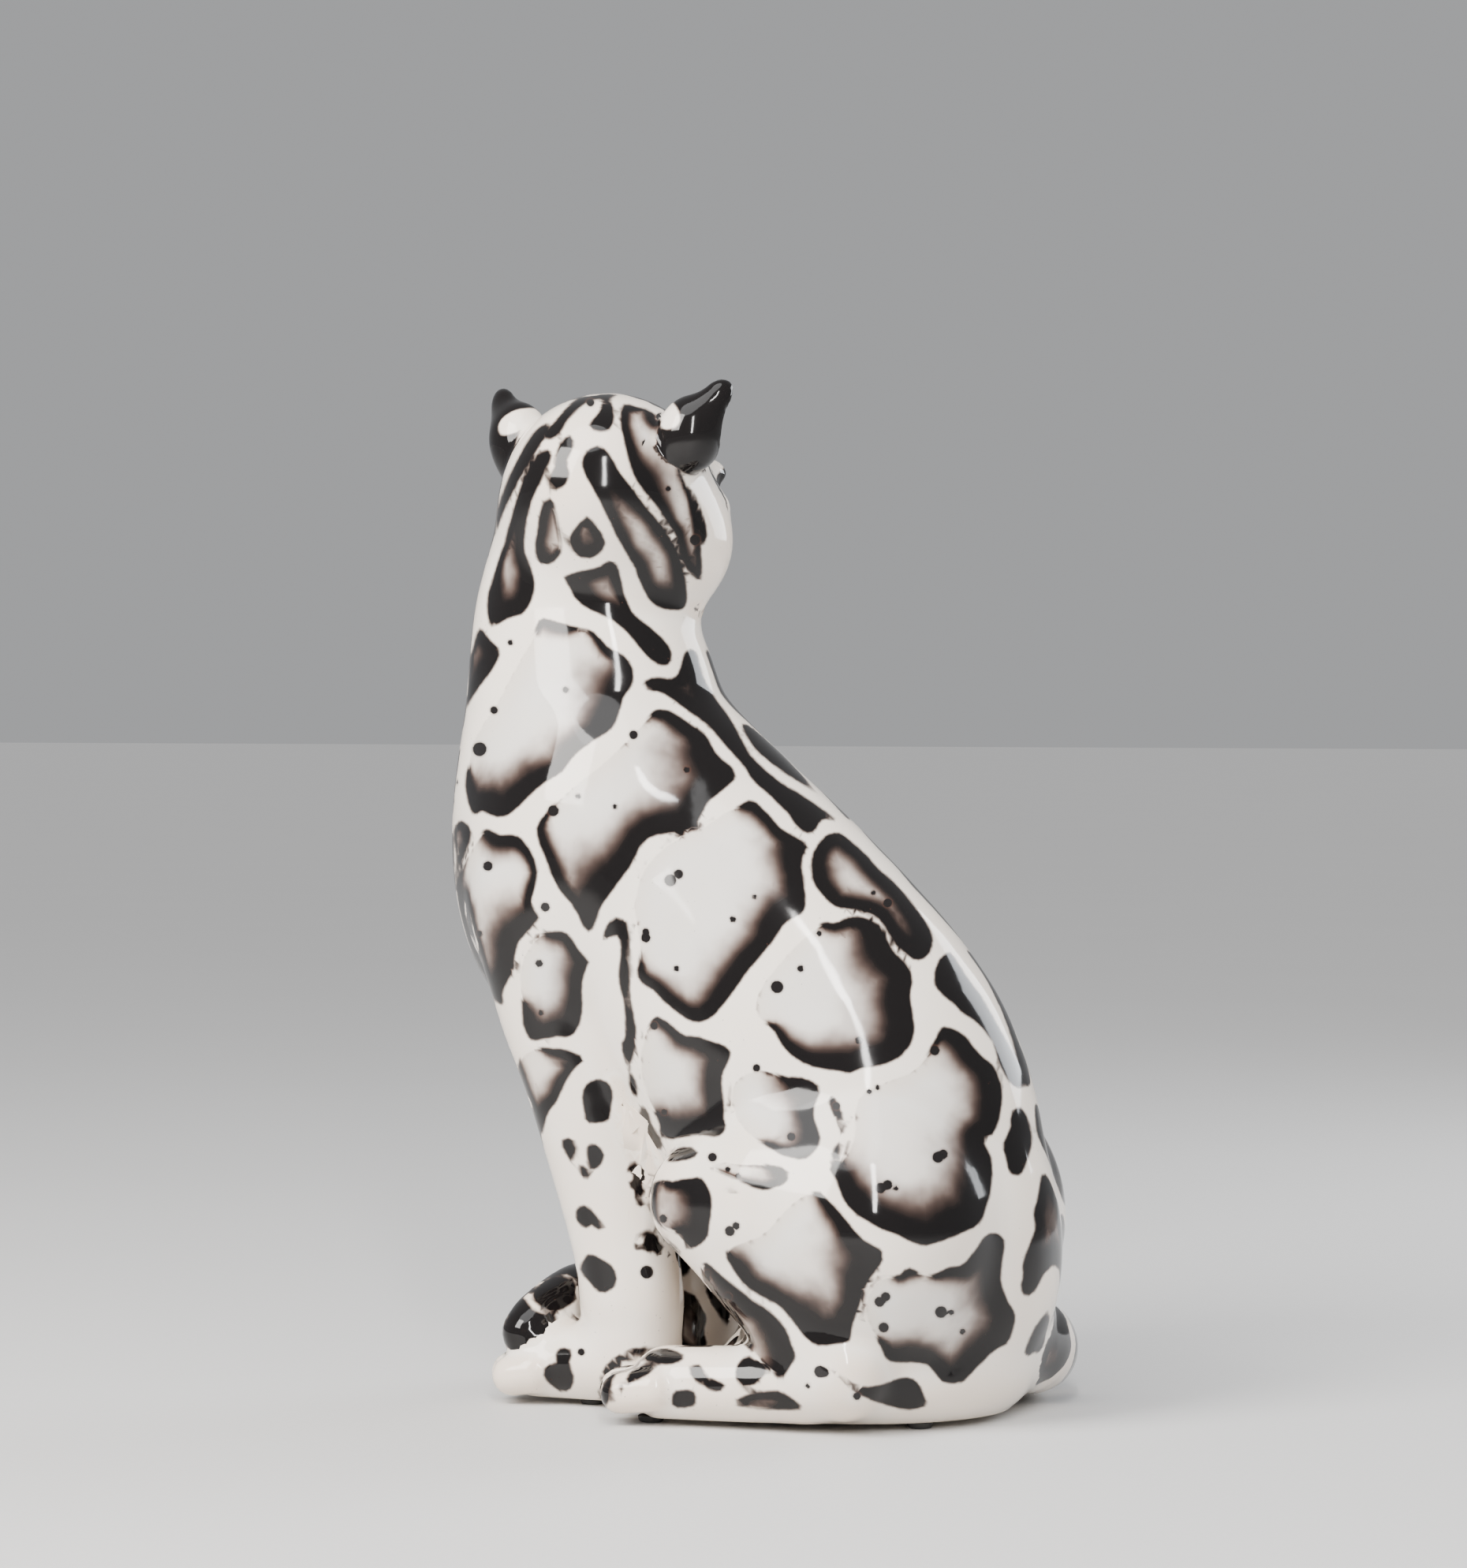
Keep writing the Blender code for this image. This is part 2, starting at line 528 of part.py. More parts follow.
def bulb(low, glass, brass, insulator, wire, clear):
    """A pear-shaped bulb in its screw cap, standing on the centre contact."""
    low += GAP
    contact = [(0, low + 1 * MM), (4.5 * MM, low + 1 * MM), (3.5 * MM, low), (0, low)]
    on_axis(turned("bulb_contact", contact, brass, lamp))
    low += 1 * MM + GAP
    seat = low + 3 * MM
    disc = [(0, seat), (11 * MM, seat), (6 * MM, low), (0, low)]
    on_axis(turned("bulb_insulator", disc, insulator, lamp))
    rim = seat + GAP + 24 * MM
    wall = 0.5 * MM
    outer, inner = BULB_CAP_RADIUS, BULB_CAP_RADIUS - wall
    cap = [(0, seat + GAP + wall), (inner - 3 * MM, seat + GAP + wall), (inner, seat + 3 * MM + wall),
           (inner, rim), (outer, rim), (outer, seat + 3 * MM), (outer - 3 * MM, seat + GAP), (0, seat + GAP)]
    on_axis(turned("bulb_cap", cap, brass, lamp))

    neck = inner - GAP
    foot = rim - 12 * MM
    centre = rim + BULB_HEIGHT - BULB_RADIUS
    angles = [math.radians(a) for a in (90, 72, 52, 32, 12, -8, -26, -40)]
    globe = [(BULB_RADIUS * math.cos(a), centre + BULB_RADIUS * math.sin(a)) for a in angles]
    globe[0] = (0, centre + BULB_RADIUS)
    outside = [*globe, (neck + 3 * MM, rim + 20 * MM), (neck, rim + 2 * MM), (neck, foot)]
    scale = (BULB_RADIUS - GLASS_THICKNESS) / BULB_RADIUS
    inside = [(neck - GLASS_THICKNESS, foot), (neck - GLASS_THICKNESS, rim + 2 * MM),
              (neck + 3 * MM - GLASS_THICKNESS, rim + 20 * MM)]
    inside += [(r * scale, centre + (z - centre) * scale) for r, z in reversed(globe)]
    on_axis(turned("bulb_glass", outside + inside, glass, lamp))

    stem_low = seat + GAP + wall + GAP
    stem_top = rim + 34 * MM
    stem = [(0, stem_top), (2 * MM, stem_top), (2.4 * MM, rim + 16 * MM), (5 * MM, foot), (7 * MM, stem_low), (0, stem_low)]
    on_axis(turned("bulb_stem", stem, clear, lamp))
    curve = bpy.data.curves.new("bulb_filament", "CURVE")
    curve.dimensions = "3D"
    curve.bevel_depth = 0.5 * MM
    curve.bevel_resolution = 1
    curve.use_fill_caps = True
    line = curve.splines.new("POLY")
    count = 9
    line.points.add(count - 1)
    for i in range(count):
        angle = math.radians(20 + 320 * i / (count - 1))
        line.points[i].co = (9 * MM * math.cos(angle), 9 * MM * math.sin(angle), 0, 1)
    filament = bpy.data.objects.new("bulb_filament", curve)
    lamp.objects.link(filament)
    curve.materials.append(wire)
    on_axis(filament, stem_top + 4 * MM)


# ---- heights that follow from the sizes above ------------------------------------------------------
UNDERSIDE = PAD_HEIGHT + GAP
RECESS_TOP = UNDERSIDE + RECESS_DEPTH
FLOOR_TOP = RECESS_TOP + FLOOR
CORD_INLET = drawn(*CORD_INLET_AT)

clear_scene()
lamp = new_collection("leopard_lamp")
cutters = new_collection("cutters")


def main():
    glaze = material("glaze", (0.86, 0.81, 0.75), 0.08)
    eye_glass = material("eye_glass", (0.07, 0.05, 0.04), 0.03)
    plaster = material("plaster", (0.80, 0.78, 0.72), 0.9)
    rubber = material("rubber", (0.05, 0.05, 0.05), 0.7)
    zinc = material("zinc_plate", (0.62, 0.63, 0.64), 0.35, 1.0)
    steel = material("steel", (0.55, 0.56, 0.57), 0.3, 1.0)
    brass = material("brass", (0.78, 0.60, 0.26), 0.3, 1.0)
    card = material("card", (0.36, 0.30, 0.24), 0.9)
    porcelain = material("porcelain", (0.85, 0.84, 0.80), 0.25)
    bulb_glass = material("bulb_glass", (0.95, 0.94, 0.90), 0.25, transmission=0.8)
    clear = material("clear_glass", (0.95, 0.97, 0.97), 0.02, transmission=1.0)
    wire = material("wire", (0.30, 0.29, 0.28), 0.4, 1.0)

    bore = add_cutter("pipe_bore", cylinder_mesh("pipe_bore", PIPE_RADIUS + GAP, 0.2, 24))
    on_axis(bore, -0.02)
    body = figure(glaze)
    eyes(eye_glass, plaster)
    pads(rubber)
    grommet(rubber)
    underside_hardware(steel, zinc, rubber, bore)
    nut_top = crossbar_hardware(steel, zinc, bore)
    socket_low = nut_top + SOCKET_STANDOFF
    on_axis(ring("lamp_pipe", PIPE_BORE, PIPE_RADIUS, PIPE_FOOT, socket_low + 6 * MM, steel))
    contact_top = lampholder(socket_low, brass, card, porcelain, steel, bore)
    bulb(contact_top, bulb_glass, brass, rubber, wire, clear)
    for ob in lamp.objects:
        if ob.type == "MESH" and ob is not body:
            smooth(ob.data)
    centre_on_origin(body)


def centre_on_origin(body):
    """Bring the middle of the figure's footprint, which holds all the rest, to the origin."""
    mesh = evaluated_mesh(body)
    places = np.array([v.co for v in mesh.vertices])
    bpy.data.meshes.remove(mesh)
    middle = (places.min(axis=0) + places.max(axis=0)) / 2
    origin = bpy.data.objects.new("origin", None)
    lamp.objects.link(origin)
    for ob in [*lamp.objects, *cutters.objects]:
        if ob is not origin:
            ob.parent = origin
    origin.location = (-middle[0], -middle[1], 0)


main()
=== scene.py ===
"""A television lamp in the form of a seated leopard: glazed ceramic, glass eyes, a lamp inside.

The figure is drawn in millimetres. It faces -Y, its left side is +X, and it looks over its right shoulder.
"""
import math

import bpy
import numpy as np
from bpy.props import FloatProperty, FloatVectorProperty, IntProperty, PointerProperty
from bpy.types import Operator, Panel, PropertyGroup
from mathutils import Euler, Matrix, Vector, noise
from mathutils.bvhtree import BVHTree
from mathutils.kdtree import KDTree


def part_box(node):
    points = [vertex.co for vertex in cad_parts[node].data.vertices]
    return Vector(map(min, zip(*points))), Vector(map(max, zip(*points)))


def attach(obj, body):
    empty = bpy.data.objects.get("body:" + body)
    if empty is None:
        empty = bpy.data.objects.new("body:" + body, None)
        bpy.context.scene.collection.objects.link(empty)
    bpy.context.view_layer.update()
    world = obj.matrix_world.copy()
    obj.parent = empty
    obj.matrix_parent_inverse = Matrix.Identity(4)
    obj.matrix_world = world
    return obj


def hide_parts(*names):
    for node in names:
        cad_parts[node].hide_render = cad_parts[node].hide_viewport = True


bl_info = {
    "name": "Leopard Television Lamp",
    "version": (1, 0, 0),
    "blender": (4, 5, 0),
    "location": "3D Viewport > Sidebar > Leopard Lamp",
    "description": "Models and glazes a ceramic leopard lamp around its lamp hardware",
    "category": "Add Mesh",
}

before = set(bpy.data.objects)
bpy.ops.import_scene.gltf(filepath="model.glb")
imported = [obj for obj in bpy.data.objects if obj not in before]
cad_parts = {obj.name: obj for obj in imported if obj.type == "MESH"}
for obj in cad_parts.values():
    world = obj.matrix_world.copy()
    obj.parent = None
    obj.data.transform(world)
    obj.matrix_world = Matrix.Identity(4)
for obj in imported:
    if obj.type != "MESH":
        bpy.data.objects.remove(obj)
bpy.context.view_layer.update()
MM = 0.001
TURN = 2 * math.pi

PIPE_LOW, PIPE_HIGH = (Vector(corner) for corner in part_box("lamp_pipe"))
LAMP_AXIS_DRAWN = Vector((0, 50, 0))
DRAWN_ORIGIN = (Vector(((PIPE_LOW.x + PIPE_HIGH.x) / 2, (PIPE_LOW.y + PIPE_HIGH.y) / 2, 0))
                - LAMP_AXIS_DRAWN * MM)

# ---- the figure's masses, in millimetres -----------------------------------------------------------
# A lump is (centre, radii, turn in degrees, blend).
# A limb is (stations of x, y, z, radius; width as a share of its depth; blend).
HEAD_AT = (0, -80, 441)
HEAD_TURN = -98                     # degrees, towards the figure's right
REACH_MARGIN = 30                   # how far past its own surface a mass is still felt
UNDERSIDE = 3.5                     # the pads lift the clay this far
WALL = 5.5
FLOOR_TOP = 21
RECESS_TOP = 15                     # the underside's recess, for the base plate
RECESS_RADIUS = 45
HAND_HOLE_RADIUS = 29
EYE_RADIUS = 10
EYE_DEPTH = 7.5
EYE_AT = (21, -52.5, 7)             # in the head's frame
EYE_UP, EYE_OUT = 8, 20             # degrees that an eye looks up and outward
CORD_INLET_AT = (-86, 88, 74)
CORD_HOLE_RADIUS = 7
GROMMET_FLANGE = 9.5
CLEARANCE = 0.3                     # between the clay and what is pushed into it

BODY_LUMPS = {
    "rump": ((0, 74, 70), (68, 76, 80), (0, 0, 0), 20),
    "chest": ((0, -108, 262), (50, 55, 84), (0, 0, 0), 20),
    "seat": ((0, 60, 22), (82, 76, 32), (0, 0, 0), 14),
    "belly": ((0, 6, 130), (50, 56, 66), (0, 0, 0), 16),
}
PAIRED_LUMPS = {
    "shoulder": ((38, -82, 268), (34, 52, 70), (-14, 0, 0), 16),
    "haunch": ((54, 68, 88), (38, 62, 68), (0, 0, 0), 16),
}
BODY_LIMBS = {
    "trunk": ([(0, -90, 420, 50), (0, -98, 382, 54), (0, -93, 345, 62), (0, -86, 305, 71),
               (0, -59, 262, 83), (0, -9, 208, 91), (0, 38, 154, 93), (0, 64, 104, 82)], 0.8, 20),
}
PAIRED_LIMBS = {
    "foreleg": ([(39, -98, 240, 36), (40, -91, 196, 29), (38, -81, 165, 27), (36, -73, 135, 25.5),
                 (34, -66, 107, 24.5), (33, -57, 70, 24), (33, -54, 40, 24)], 0.9, 9),
    "forepaw": ([(33, -52, 22, 21), (34, -100, 19, 18.5)], 1.1, 8),
    "thigh": ([(50, 72, 94, 62), (62, 38, 104, 46), (69, 2, 107, 27)], 0.85, 12),
    "shin": ([(69, 3, 104, 25), (74, 75, 30, 24)], 0.9, 6),
    "hindfoot": ([(74, 54, 22, 18), (76, -14, 19, 18)], 1.1, 8),
}
TOES = [(-15, 3), (-5, -2), (5.5, -1), (15.5, 5)]
TOE_RADII = (10.5, 10)
TOE_ROWS = {"foretoe": ((34, -100, 16), (34, -116, 14)), "hindtoe": ((76, -14, 18), (76, -36, 15.5))}
TAIL = ([(-6, 112, 42, 25), (-46, 118, 31, 23), (-88, 104, 23, 20), (-114, 58, 20, 17), (-122, -8, 19, 16),
         (-108, -66, 21, 15.5), (-78, -98, 31, 15), (-44, -104, 42, 15), (-8, -102, 47, 15),
         (20, -103, 42, 14.5), (42, -108, 34, 12)], 1.0, 6)
HEAD_LUMPS = {
    "skull": ((0, 6, 6), (50, 54, 48), (0, 0, 0), 14),
    "face": ((0, -28, -6), (36, 34, 36), (0, 0, 0), 12),
    "muzzle": ((0, -54, -17), (21, 24, 18), (0, 0, 0), 8),
    "nose": ((0, -75, -6), (8.5, 6, 6), (0, 0, 0), 4),
    "chin": ((0, -58, -35), (12, 14, 10), (0, 0, 0), 8),
    "jaw": ((0, -28, -34), (26, 32, 17), (0, 0, 0), 12),
}
HEAD_PAIRED_LUMPS = {
    "cheek": ((28, -14, -18), (25, 30, 30), (0, 0, 0), 12),
    "whisker_pad": ((9.5, -66, -20), (11.5, 12, 11.5), (0, 0, 0), 4),
    "brow": ((19, -40, 17), (14, 13, 9), (0, 0, 0), 8),
    "ear": ((51, 10, 32), (16.5, 15, 20), (0, 20, -33), 5),
    "ear_tip": ((62, 6, 46), (8.5, 7, 14), (0, 30, -33), 6),
}
HEAD_LIMBS = {"nose_bridge": ([(0, -30, 20, 18), (0, -66, 0, 9.5)], 1.0, 8)}
HEAD_HOLLOWS = {"ear_hollow": ((64, -1, 40), (13, 8, 18), (0, 20, -33), 3)}
HOLLOW_MASSES = ("rump", "chest", "seat", "belly", "shoulder", "haunch", "trunk", "thigh", "foreleg", "skull")

# Low ridges and grooves worked into the face, in the head's frame: places, width, and height above
# the clay, which is negative where a groove is cut in.
FACE_RELIEF = {
    "upper_lip": ([(5, -76, -23), (13, -71, -28), (20, -60, -29)], 3.6, 2.0),
    "brow_ridge": ([(9, -58, 17), (20, -57, 21), (31, -50, 17)], 5.0, 2.6),
    "cheek_bone": ([(24, -54, -7), (34, -46, -3), (41, -34, 0)], 6.5, 1.8),
    "mouth": ([(0, -79, -25), (7, -77, -29.5), (15, -69, -32.5), (21, -58, -32)], 1.7, -2.0),
    "philtrum": ([(0, -81.5, -12), (0, -80, -24)], 1.5, -1.3),
    "nostril": ([(3.6, -81, -7), (6.5, -78.5, -6)], 1.6, -2.0),
    "tear_line": ([(12, -61.5, 3), (9, -66, -4)], 1.8, -1.2),
}
EYELID_RING, EYELID_WIDTH, EYELID_HEIGHT = 12.2, 2.2, 1.1
RELIEF_DEEPEST, RELIEF_REACH = -25, (50, 95, 50)    # the part of the head that the relief can touch

GROUPS = {
    "tail": "tail", "foreleg": "foreleg", "forepaw": "paw", "hindfoot": "paw", "foretoe": "paw",
    "hindtoe": "paw", "shin": "shin", "ear": "ear", "ear_tip": "ear",
}


def turn_matrix(degrees):
    return np.array(Euler([math.radians(a) for a in degrees]).to_matrix())


HEAD_AXES = turn_matrix((0, 0, HEAD_TURN))
HEAD_CENTRE = np.array(HEAD_AT, float)


def curve_through(stations, steps):
    """Places on a smooth curve through the stations, with steps to each span."""
    st = np.array(stations, float)
    if steps < 2 or len(st) < 3:
        return st
    ends = np.vstack([2 * st[0] - st[1], st, 2 * st[-1] - st[-2]])
    places = []
    for i in range(1, len(ends) - 2):
        a, b, c, d = ends[i - 1:i + 3]
        for t in np.arange(steps) / steps:
            places.append(0.5 * (2 * b + (c - a) * t + (2 * a - 5 * b + 4 * c - d) * t * t
                                 + (3 * b - a - 3 * c + d) * t ** 3))
    return np.array([*places, st[-1]])


def lump_mass(name, lump, side=1, head=False, hollow=False, shrink=0.0):
    centre, radii, turn, blend = lump
    centre = np.array(centre, float) * (side, 1, 1)
    axes = turn_matrix((turn[0], turn[1] * side, turn[2] * side))
    if head:
        centre, axes = HEAD_AXES @ centre + HEAD_CENTRE, HEAD_AXES @ axes
    radii = np.array(radii, float) - shrink
    return {"name": name, "kind": "lump", "centre": centre, "axes": axes, "radii": radii, "blend": blend,
            "hollow": hollow, "middle": centre, "reach": radii.max() + REACH_MARGIN}


def limb_mass(name, stations, width, blend, side=1, head=False, shrink=0.0):
    st = curve_through(stations, 3 if len(stations) > 3 else 1) * (side, 1, 1, 1)
    if head:
        st[:, :3] = st[:, :3] @ HEAD_AXES.T + HEAD_CENTRE
    st[:, 3] -= shrink
    middle = (st[:, :3].min(0) + st[:, :3].max(0)) / 2
    reach = np.linalg.norm(st[:, :3] - middle, axis=1).max() + st[:, 3].max() + REACH_MARGIN
    return {"name": name, "kind": "limb", "stations": st, "width": width, "blend": blend, "hollow": False,
            "middle": middle, "reach": reach}


def gaze_direction(side):
    """The way an eye looks, in the head's frame."""
    up, out = math.radians(EYE_UP), math.radians(EYE_OUT)
    return np.array((math.sin(out) * side * math.cos(up), -math.cos(out) * math.cos(up), math.sin(up)))


def eye_axes(side):
    """An eye's centre and the way it looks, in millimetres."""
    centre = HEAD_AXES @ (np.array(EYE_AT, float) * (side, 1, 1)) + HEAD_CENTRE
    return centre, HEAD_AXES @ gaze_direction(side)


def clay_masses(shrink=0.0, only=None):
    """The masses that make the figure, or those named, each smaller by shrink."""
    found = []
    for table, sides, head in ((BODY_LUMPS, (1,), False), (PAIRED_LUMPS, (1, -1), False),
                               (HEAD_LUMPS, (1,), True), (HEAD_PAIRED_LUMPS, (1, -1), True)):
        for name, lump in table.items():
            found += [lump_mass(name, lump, side, head, shrink=shrink) for side in sides]
    for table, sides, head in ((BODY_LIMBS, (1,), False), (PAIRED_LIMBS, (1, -1), False),
                               (HEAD_LIMBS, (1,), True)):
        for name, (stations, width, blend) in table.items():
            found += [limb_mass(name, stations, width, blend, side, head, shrink=shrink) for side in sides]
    found.append(limb_mass("tail", *TAIL, shrink=shrink))
    for name, ((x0, y0, z0), (x1, y1, z1)) in TOE_ROWS.items():
        for across, along in TOES:
            stations = [(x0 + across, y0, z0, TOE_RADII[0]),
                        (x1 + across * 1.1, y1 + along, z1, TOE_RADII[1])]
            found += [limb_mass(name, stations, 1.0, 3, side, shrink=shrink) for side in (1, -1)]
    if only is not None:
        return [mass for mass in found if mass["name"] in only]
    for name, lump in HEAD_HOLLOWS.items():
        found += [lump_mass(name, lump, side, head=True, hollow=True) for side in (1, -1)]
    return found


def path_distance(points, path):
    """Distance of each point to a line through several places."""
    path = np.array(path, float)
    best = np.full(len(points), 99.0)
    for a, b in zip(path, path[1:]):
        along = b - a
        t = np.clip((points - a) @ along / max(along @ along, 1e-9), 0, 1)
        best = np.minimum(best, np.linalg.norm(points - a - t[:, None] * along, axis=1))
    return best


def face_relief(points):
    """How far the lids, lips, brows and grooves of the face raise the clay at each point."""
    raised = np.zeros(len(points))
    local = (points - HEAD_CENTRE) @ HEAD_AXES
    near = np.flatnonzero((local[:, 1] < RELIEF_DEEPEST) & (np.abs(local) < RELIEF_REACH).all(1))
    p = local[near]
    p[:, 0] = np.abs(p[:, 0])
    lift = np.zeros(len(p))
    for path, width, height in FACE_RELIEF.values():
        lift += height * np.exp(-(path_distance(p, path) / width) ** 2)
    q, look = p - EYE_AT, gaze_direction(1)
    along = q @ look
    out = np.sqrt(np.maximum((q ** 2).sum(1) - along ** 2, 0))
    lift += EYELID_HEIGHT * np.exp(-((out - EYELID_RING) / EYELID_WIDTH) ** 2) * (np.abs(along) < 12)
    raised[near] = lift
    return raised


def lump_distance(points, mass):
    q = (points - mass["centre"]) @ mass["axes"]
    near = np.linalg.norm(q / mass["radii"], axis=1)
    slope = np.linalg.norm(q / mass["radii"] ** 2, axis=1)
    return near * (near - 1) / np.maximum(slope, 1e-9)


def cone_distance(points, a, b, ra, rb):
    """Distance to a cone with round ends."""
    along = b - a
    square = along @ along
    less = ra - rb
    slant = square - less * less
    from_a = points - a
    y = from_a @ along
    z = y - square
    x2 = ((from_a * square - y[:, None] * along) ** 2).sum(1)
    y2, z2 = y * y * square, z * z * square
    k = math.copysign(less * less, less) * x2
    d = (np.sqrt(x2 * slant / square) + y * less) / square - ra
    d = np.where(np.sign(y) * slant * y2 < k, np.sqrt(x2 + y2) / square - ra, d)
    return np.where(np.sign(z) * slant * z2 > k, np.sqrt(x2 + z2) / square - rb, d)


def blend_in(a, b, k):
    """The lesser of two distances, with a fillet of about k where they cross."""
    h = np.maximum(k - np.abs(a - b), 0) / k
    return np.minimum(a, b) - h * h * k / 4


def limb_distance(points, mass):
    st, width = mass["stations"], mass["width"]
    middle = st[:, 0].mean()
    points, centres = points.copy(), st[:, :3].copy()
    points[:, 0] = middle + (points[:, 0] - middle) / width
    centres[:, 0] = middle + (centres[:, 0] - middle) / width
    whole = None
    for i in range(len(st) - 1):
        d = cone_distance(points, centres[i], centres[i + 1], st[i, 3], st[i + 1, 3])
        whole = d if whole is None else blend_in(whole, d, LIMB_BLEND)
    return whole * min(1.0, width)


DISTANCES = {"lump": lump_distance, "limb": limb_distance}
LIMB_BLEND = 6.0                    # fillet between the spans of one limb
FAR_OUTSIDE = 60.0


def clay_depth(points, masses, labels=None):
    """Distance of each point outside the clay. With labels, the nearest mass's number goes there."""
    depth = np.full(len(points), FAR_OUTSIDE)
    nearest = np.full(len(points), FAR_OUTSIDE)
    for number, mass in enumerate(masses):
        near = np.flatnonzero(((points - mass["middle"]) ** 2).sum(1) < mass["reach"] ** 2)
        if not len(near):
            continue
        d = DISTANCES[mass["kind"]](points[near], mass)
        if mass["hollow"]:
            depth[near] = -blend_in(-depth[near], d, mass["blend"])
            continue
        depth[near] = blend_in(depth[near], d, mass["blend"])
        if labels is not None:
            closer = near[d < nearest[near]]
            labels[closer] = number
            nearest[near] = np.minimum(nearest[near], d)
    return depth


# ---- small helpers for modelling by operator -------------------------------------------------------
def pick(*objects):
    """Only these objects selected, the first of them active."""
    bpy.ops.object.select_all(action="DESELECT")
    for ob in objects:
        ob.select_set(True)
    bpy.context.view_layer.objects.active = objects[0]


def apply_modifier(ob, kind, **settings):
    pick(ob)
    mod = ob.modifiers.new(kind.lower(), kind)
    for name, value in settings.items():
        setattr(mod, name, value)
    bpy.ops.object.modifier_apply(modifier=mod.name)


def cut(ob, cutter):
    """Cuts one object from another and removes the cutter."""
    apply_modifier(ob, "BOOLEAN", operation="DIFFERENCE", solver="MANIFOLD", object=cutter)
    bpy.data.objects.remove(cutter, do_unlink=True)


def settle_object(ob):
    """Brings the object's place and size into its mesh."""
    pick(ob)
    bpy.ops.object.transform_apply(location=True, rotation=True, scale=True)


def to_frame(ob):
    """From millimetres at the drawn origin to the lamp's own frame in metres."""
    ob.matrix_world = Matrix.Translation(DRAWN_ORIGIN) @ Matrix.Scale(MM, 4) @ ob.matrix_world
    settle_object(ob)


def vertex_array(mesh, what="co"):
    count = len(mesh.vertices)
    values = np.empty(count * 3)
    if what == "co":
        mesh.vertices.foreach_get("co", values)
    else:
        mesh.vertex_normals.foreach_get("vector", values)
    return values.reshape(-1, 3)


def put_vertices(mesh, places):
    mesh.vertices.foreach_set("co", places.ravel())
    mesh.update()


def edge_array(mesh):
    edges = np.empty(len(mesh.edges) * 2, int)
    mesh.edges.foreach_get("vertices", edges)
    return edges.reshape(-1, 2)


def averaged(values, edges):
    """Each vertex's value as the mean of its neighbours'."""
    count = len(values)
    table = values.reshape(count, -1)
    degree = np.maximum(np.bincount(edges.ravel(), minlength=count), 1)[:, None]
    total = np.stack([np.bincount(edges[:, 0], column[edges[:, 1]], count)
                      + np.bincount(edges[:, 1], column[edges[:, 0]], count) for column in table.T], 1)
    return (total / degree).reshape(values.shape)


def settle_on_clay(ob, masses, rounds, smooth=0.5):
    """Alternately evens the mesh and brings it to the clay's surface."""
    probe, longest = 0.4, 4.0
    mesh = ob.data
    edges = edge_array(mesh)
    places = vertex_array(mesh)
    for turn in range(rounds):
        if turn < rounds - 1:
            places += smooth * (averaged(places, edges) - places)
        put_vertices(mesh, places)
        normals = vertex_array(mesh, "normal")
        here = clay_depth(places, masses)
        ahead = clay_depth(places + normals * probe, masses)
        slope = np.clip((ahead - here) / probe, 0.35, 1.3)
        places = places - normals * np.clip(here / slope, -longest, longest)[:, None]
    put_vertices(mesh, places)


def add_balls(mass):
    """Balls that overlap along a mass, as a start for its skin."""
    balls = []
    if mass["kind"] == "lump":
        turn = Matrix(mass["axes"].tolist()).to_euler()
        balls.append((mass["centre"], mass["radii"], turn))
    else:
        st, width = mass["stations"], mass["width"]
        for a, b in zip(st, st[1:]):
            steps = max(1, math.ceil(np.linalg.norm(b[:3] - a[:3]) / (0.4 * min(a[3], b[3]))))
            for i in range(steps):
                s = a + (b - a) * i / steps
                balls.append((s[:3], (s[3] * width, s[3], s[3]), (0, 0, 0)))
        balls.append((st[-1, :3], (st[-1, 3] * width, st[-1, 3], st[-1, 3]), (0, 0, 0)))
    made = []
    for centre, radii, turn in balls:
        bpy.ops.mesh.primitive_uv_sphere_add(segments=20, ring_count=12, radius=1, location=centre,
                                             rotation=turn, scale=radii)
        made.append(bpy.context.object)
    return made


def clay_skin(name, masses, voxel):
    """One closed skin round overlapping balls."""
    balls = [ball for mass in masses if not mass["hollow"] for ball in add_balls(mass)]
    pick(*balls)
    bpy.ops.object.join()
    skin = bpy.context.object
    skin.name = skin.data.name = name
    settle_object(skin)
    apply_modifier(skin, "REMESH", mode="VOXEL", voxel_size=voxel)
    return skin


def refine(ob, wanted):
    """Subdivides the faces whose centres the test accepts."""
    pick(ob)
    mesh = ob.data
    centres = np.empty(len(mesh.polygons) * 3)
    mesh.polygons.foreach_get("center", centres)
    chosen = wanted(centres.reshape(-1, 3))
    bpy.ops.object.mode_set(mode="EDIT")
    bpy.ops.mesh.select_all(action="DESELECT")
    bpy.ops.mesh.select_mode(type="FACE")
    bpy.ops.object.mode_set(mode="OBJECT")
    mesh.polygons.foreach_set("select", chosen)
    bpy.ops.object.mode_set(mode="EDIT")
    bpy.ops.mesh.subdivide(number_cuts=1)
    bpy.ops.object.mode_set(mode="OBJECT")


def block_below(height):
    """A large block whose top is at a height."""
    bpy.ops.object.select_all(action="DESELECT")
    wide, deep = 800, 500
    bpy.ops.mesh.primitive_cube_add(size=1, location=(0, 0, height - deep / 2), scale=(wide, wide, deep))
    return bpy.context.object


def cylinder(radius, low, high, segments=48, centre=(0, 0)):
    bpy.ops.object.select_all(action="DESELECT")
    bpy.ops.mesh.primitive_cylinder_add(vertices=segments, radius=radius, depth=high - low,
                                        location=(centre[0], centre[1], (low + high) / 2))
    return bpy.context.object


def cut_bore(ob, radius, low, high, segments, place):
    """Cuts a round hole from low to high along the Z of a placing matrix."""
    hole = cylinder(radius, low, high, segments)
    hole.matrix_world = place @ hole.matrix_world
    cut(ob, hole)


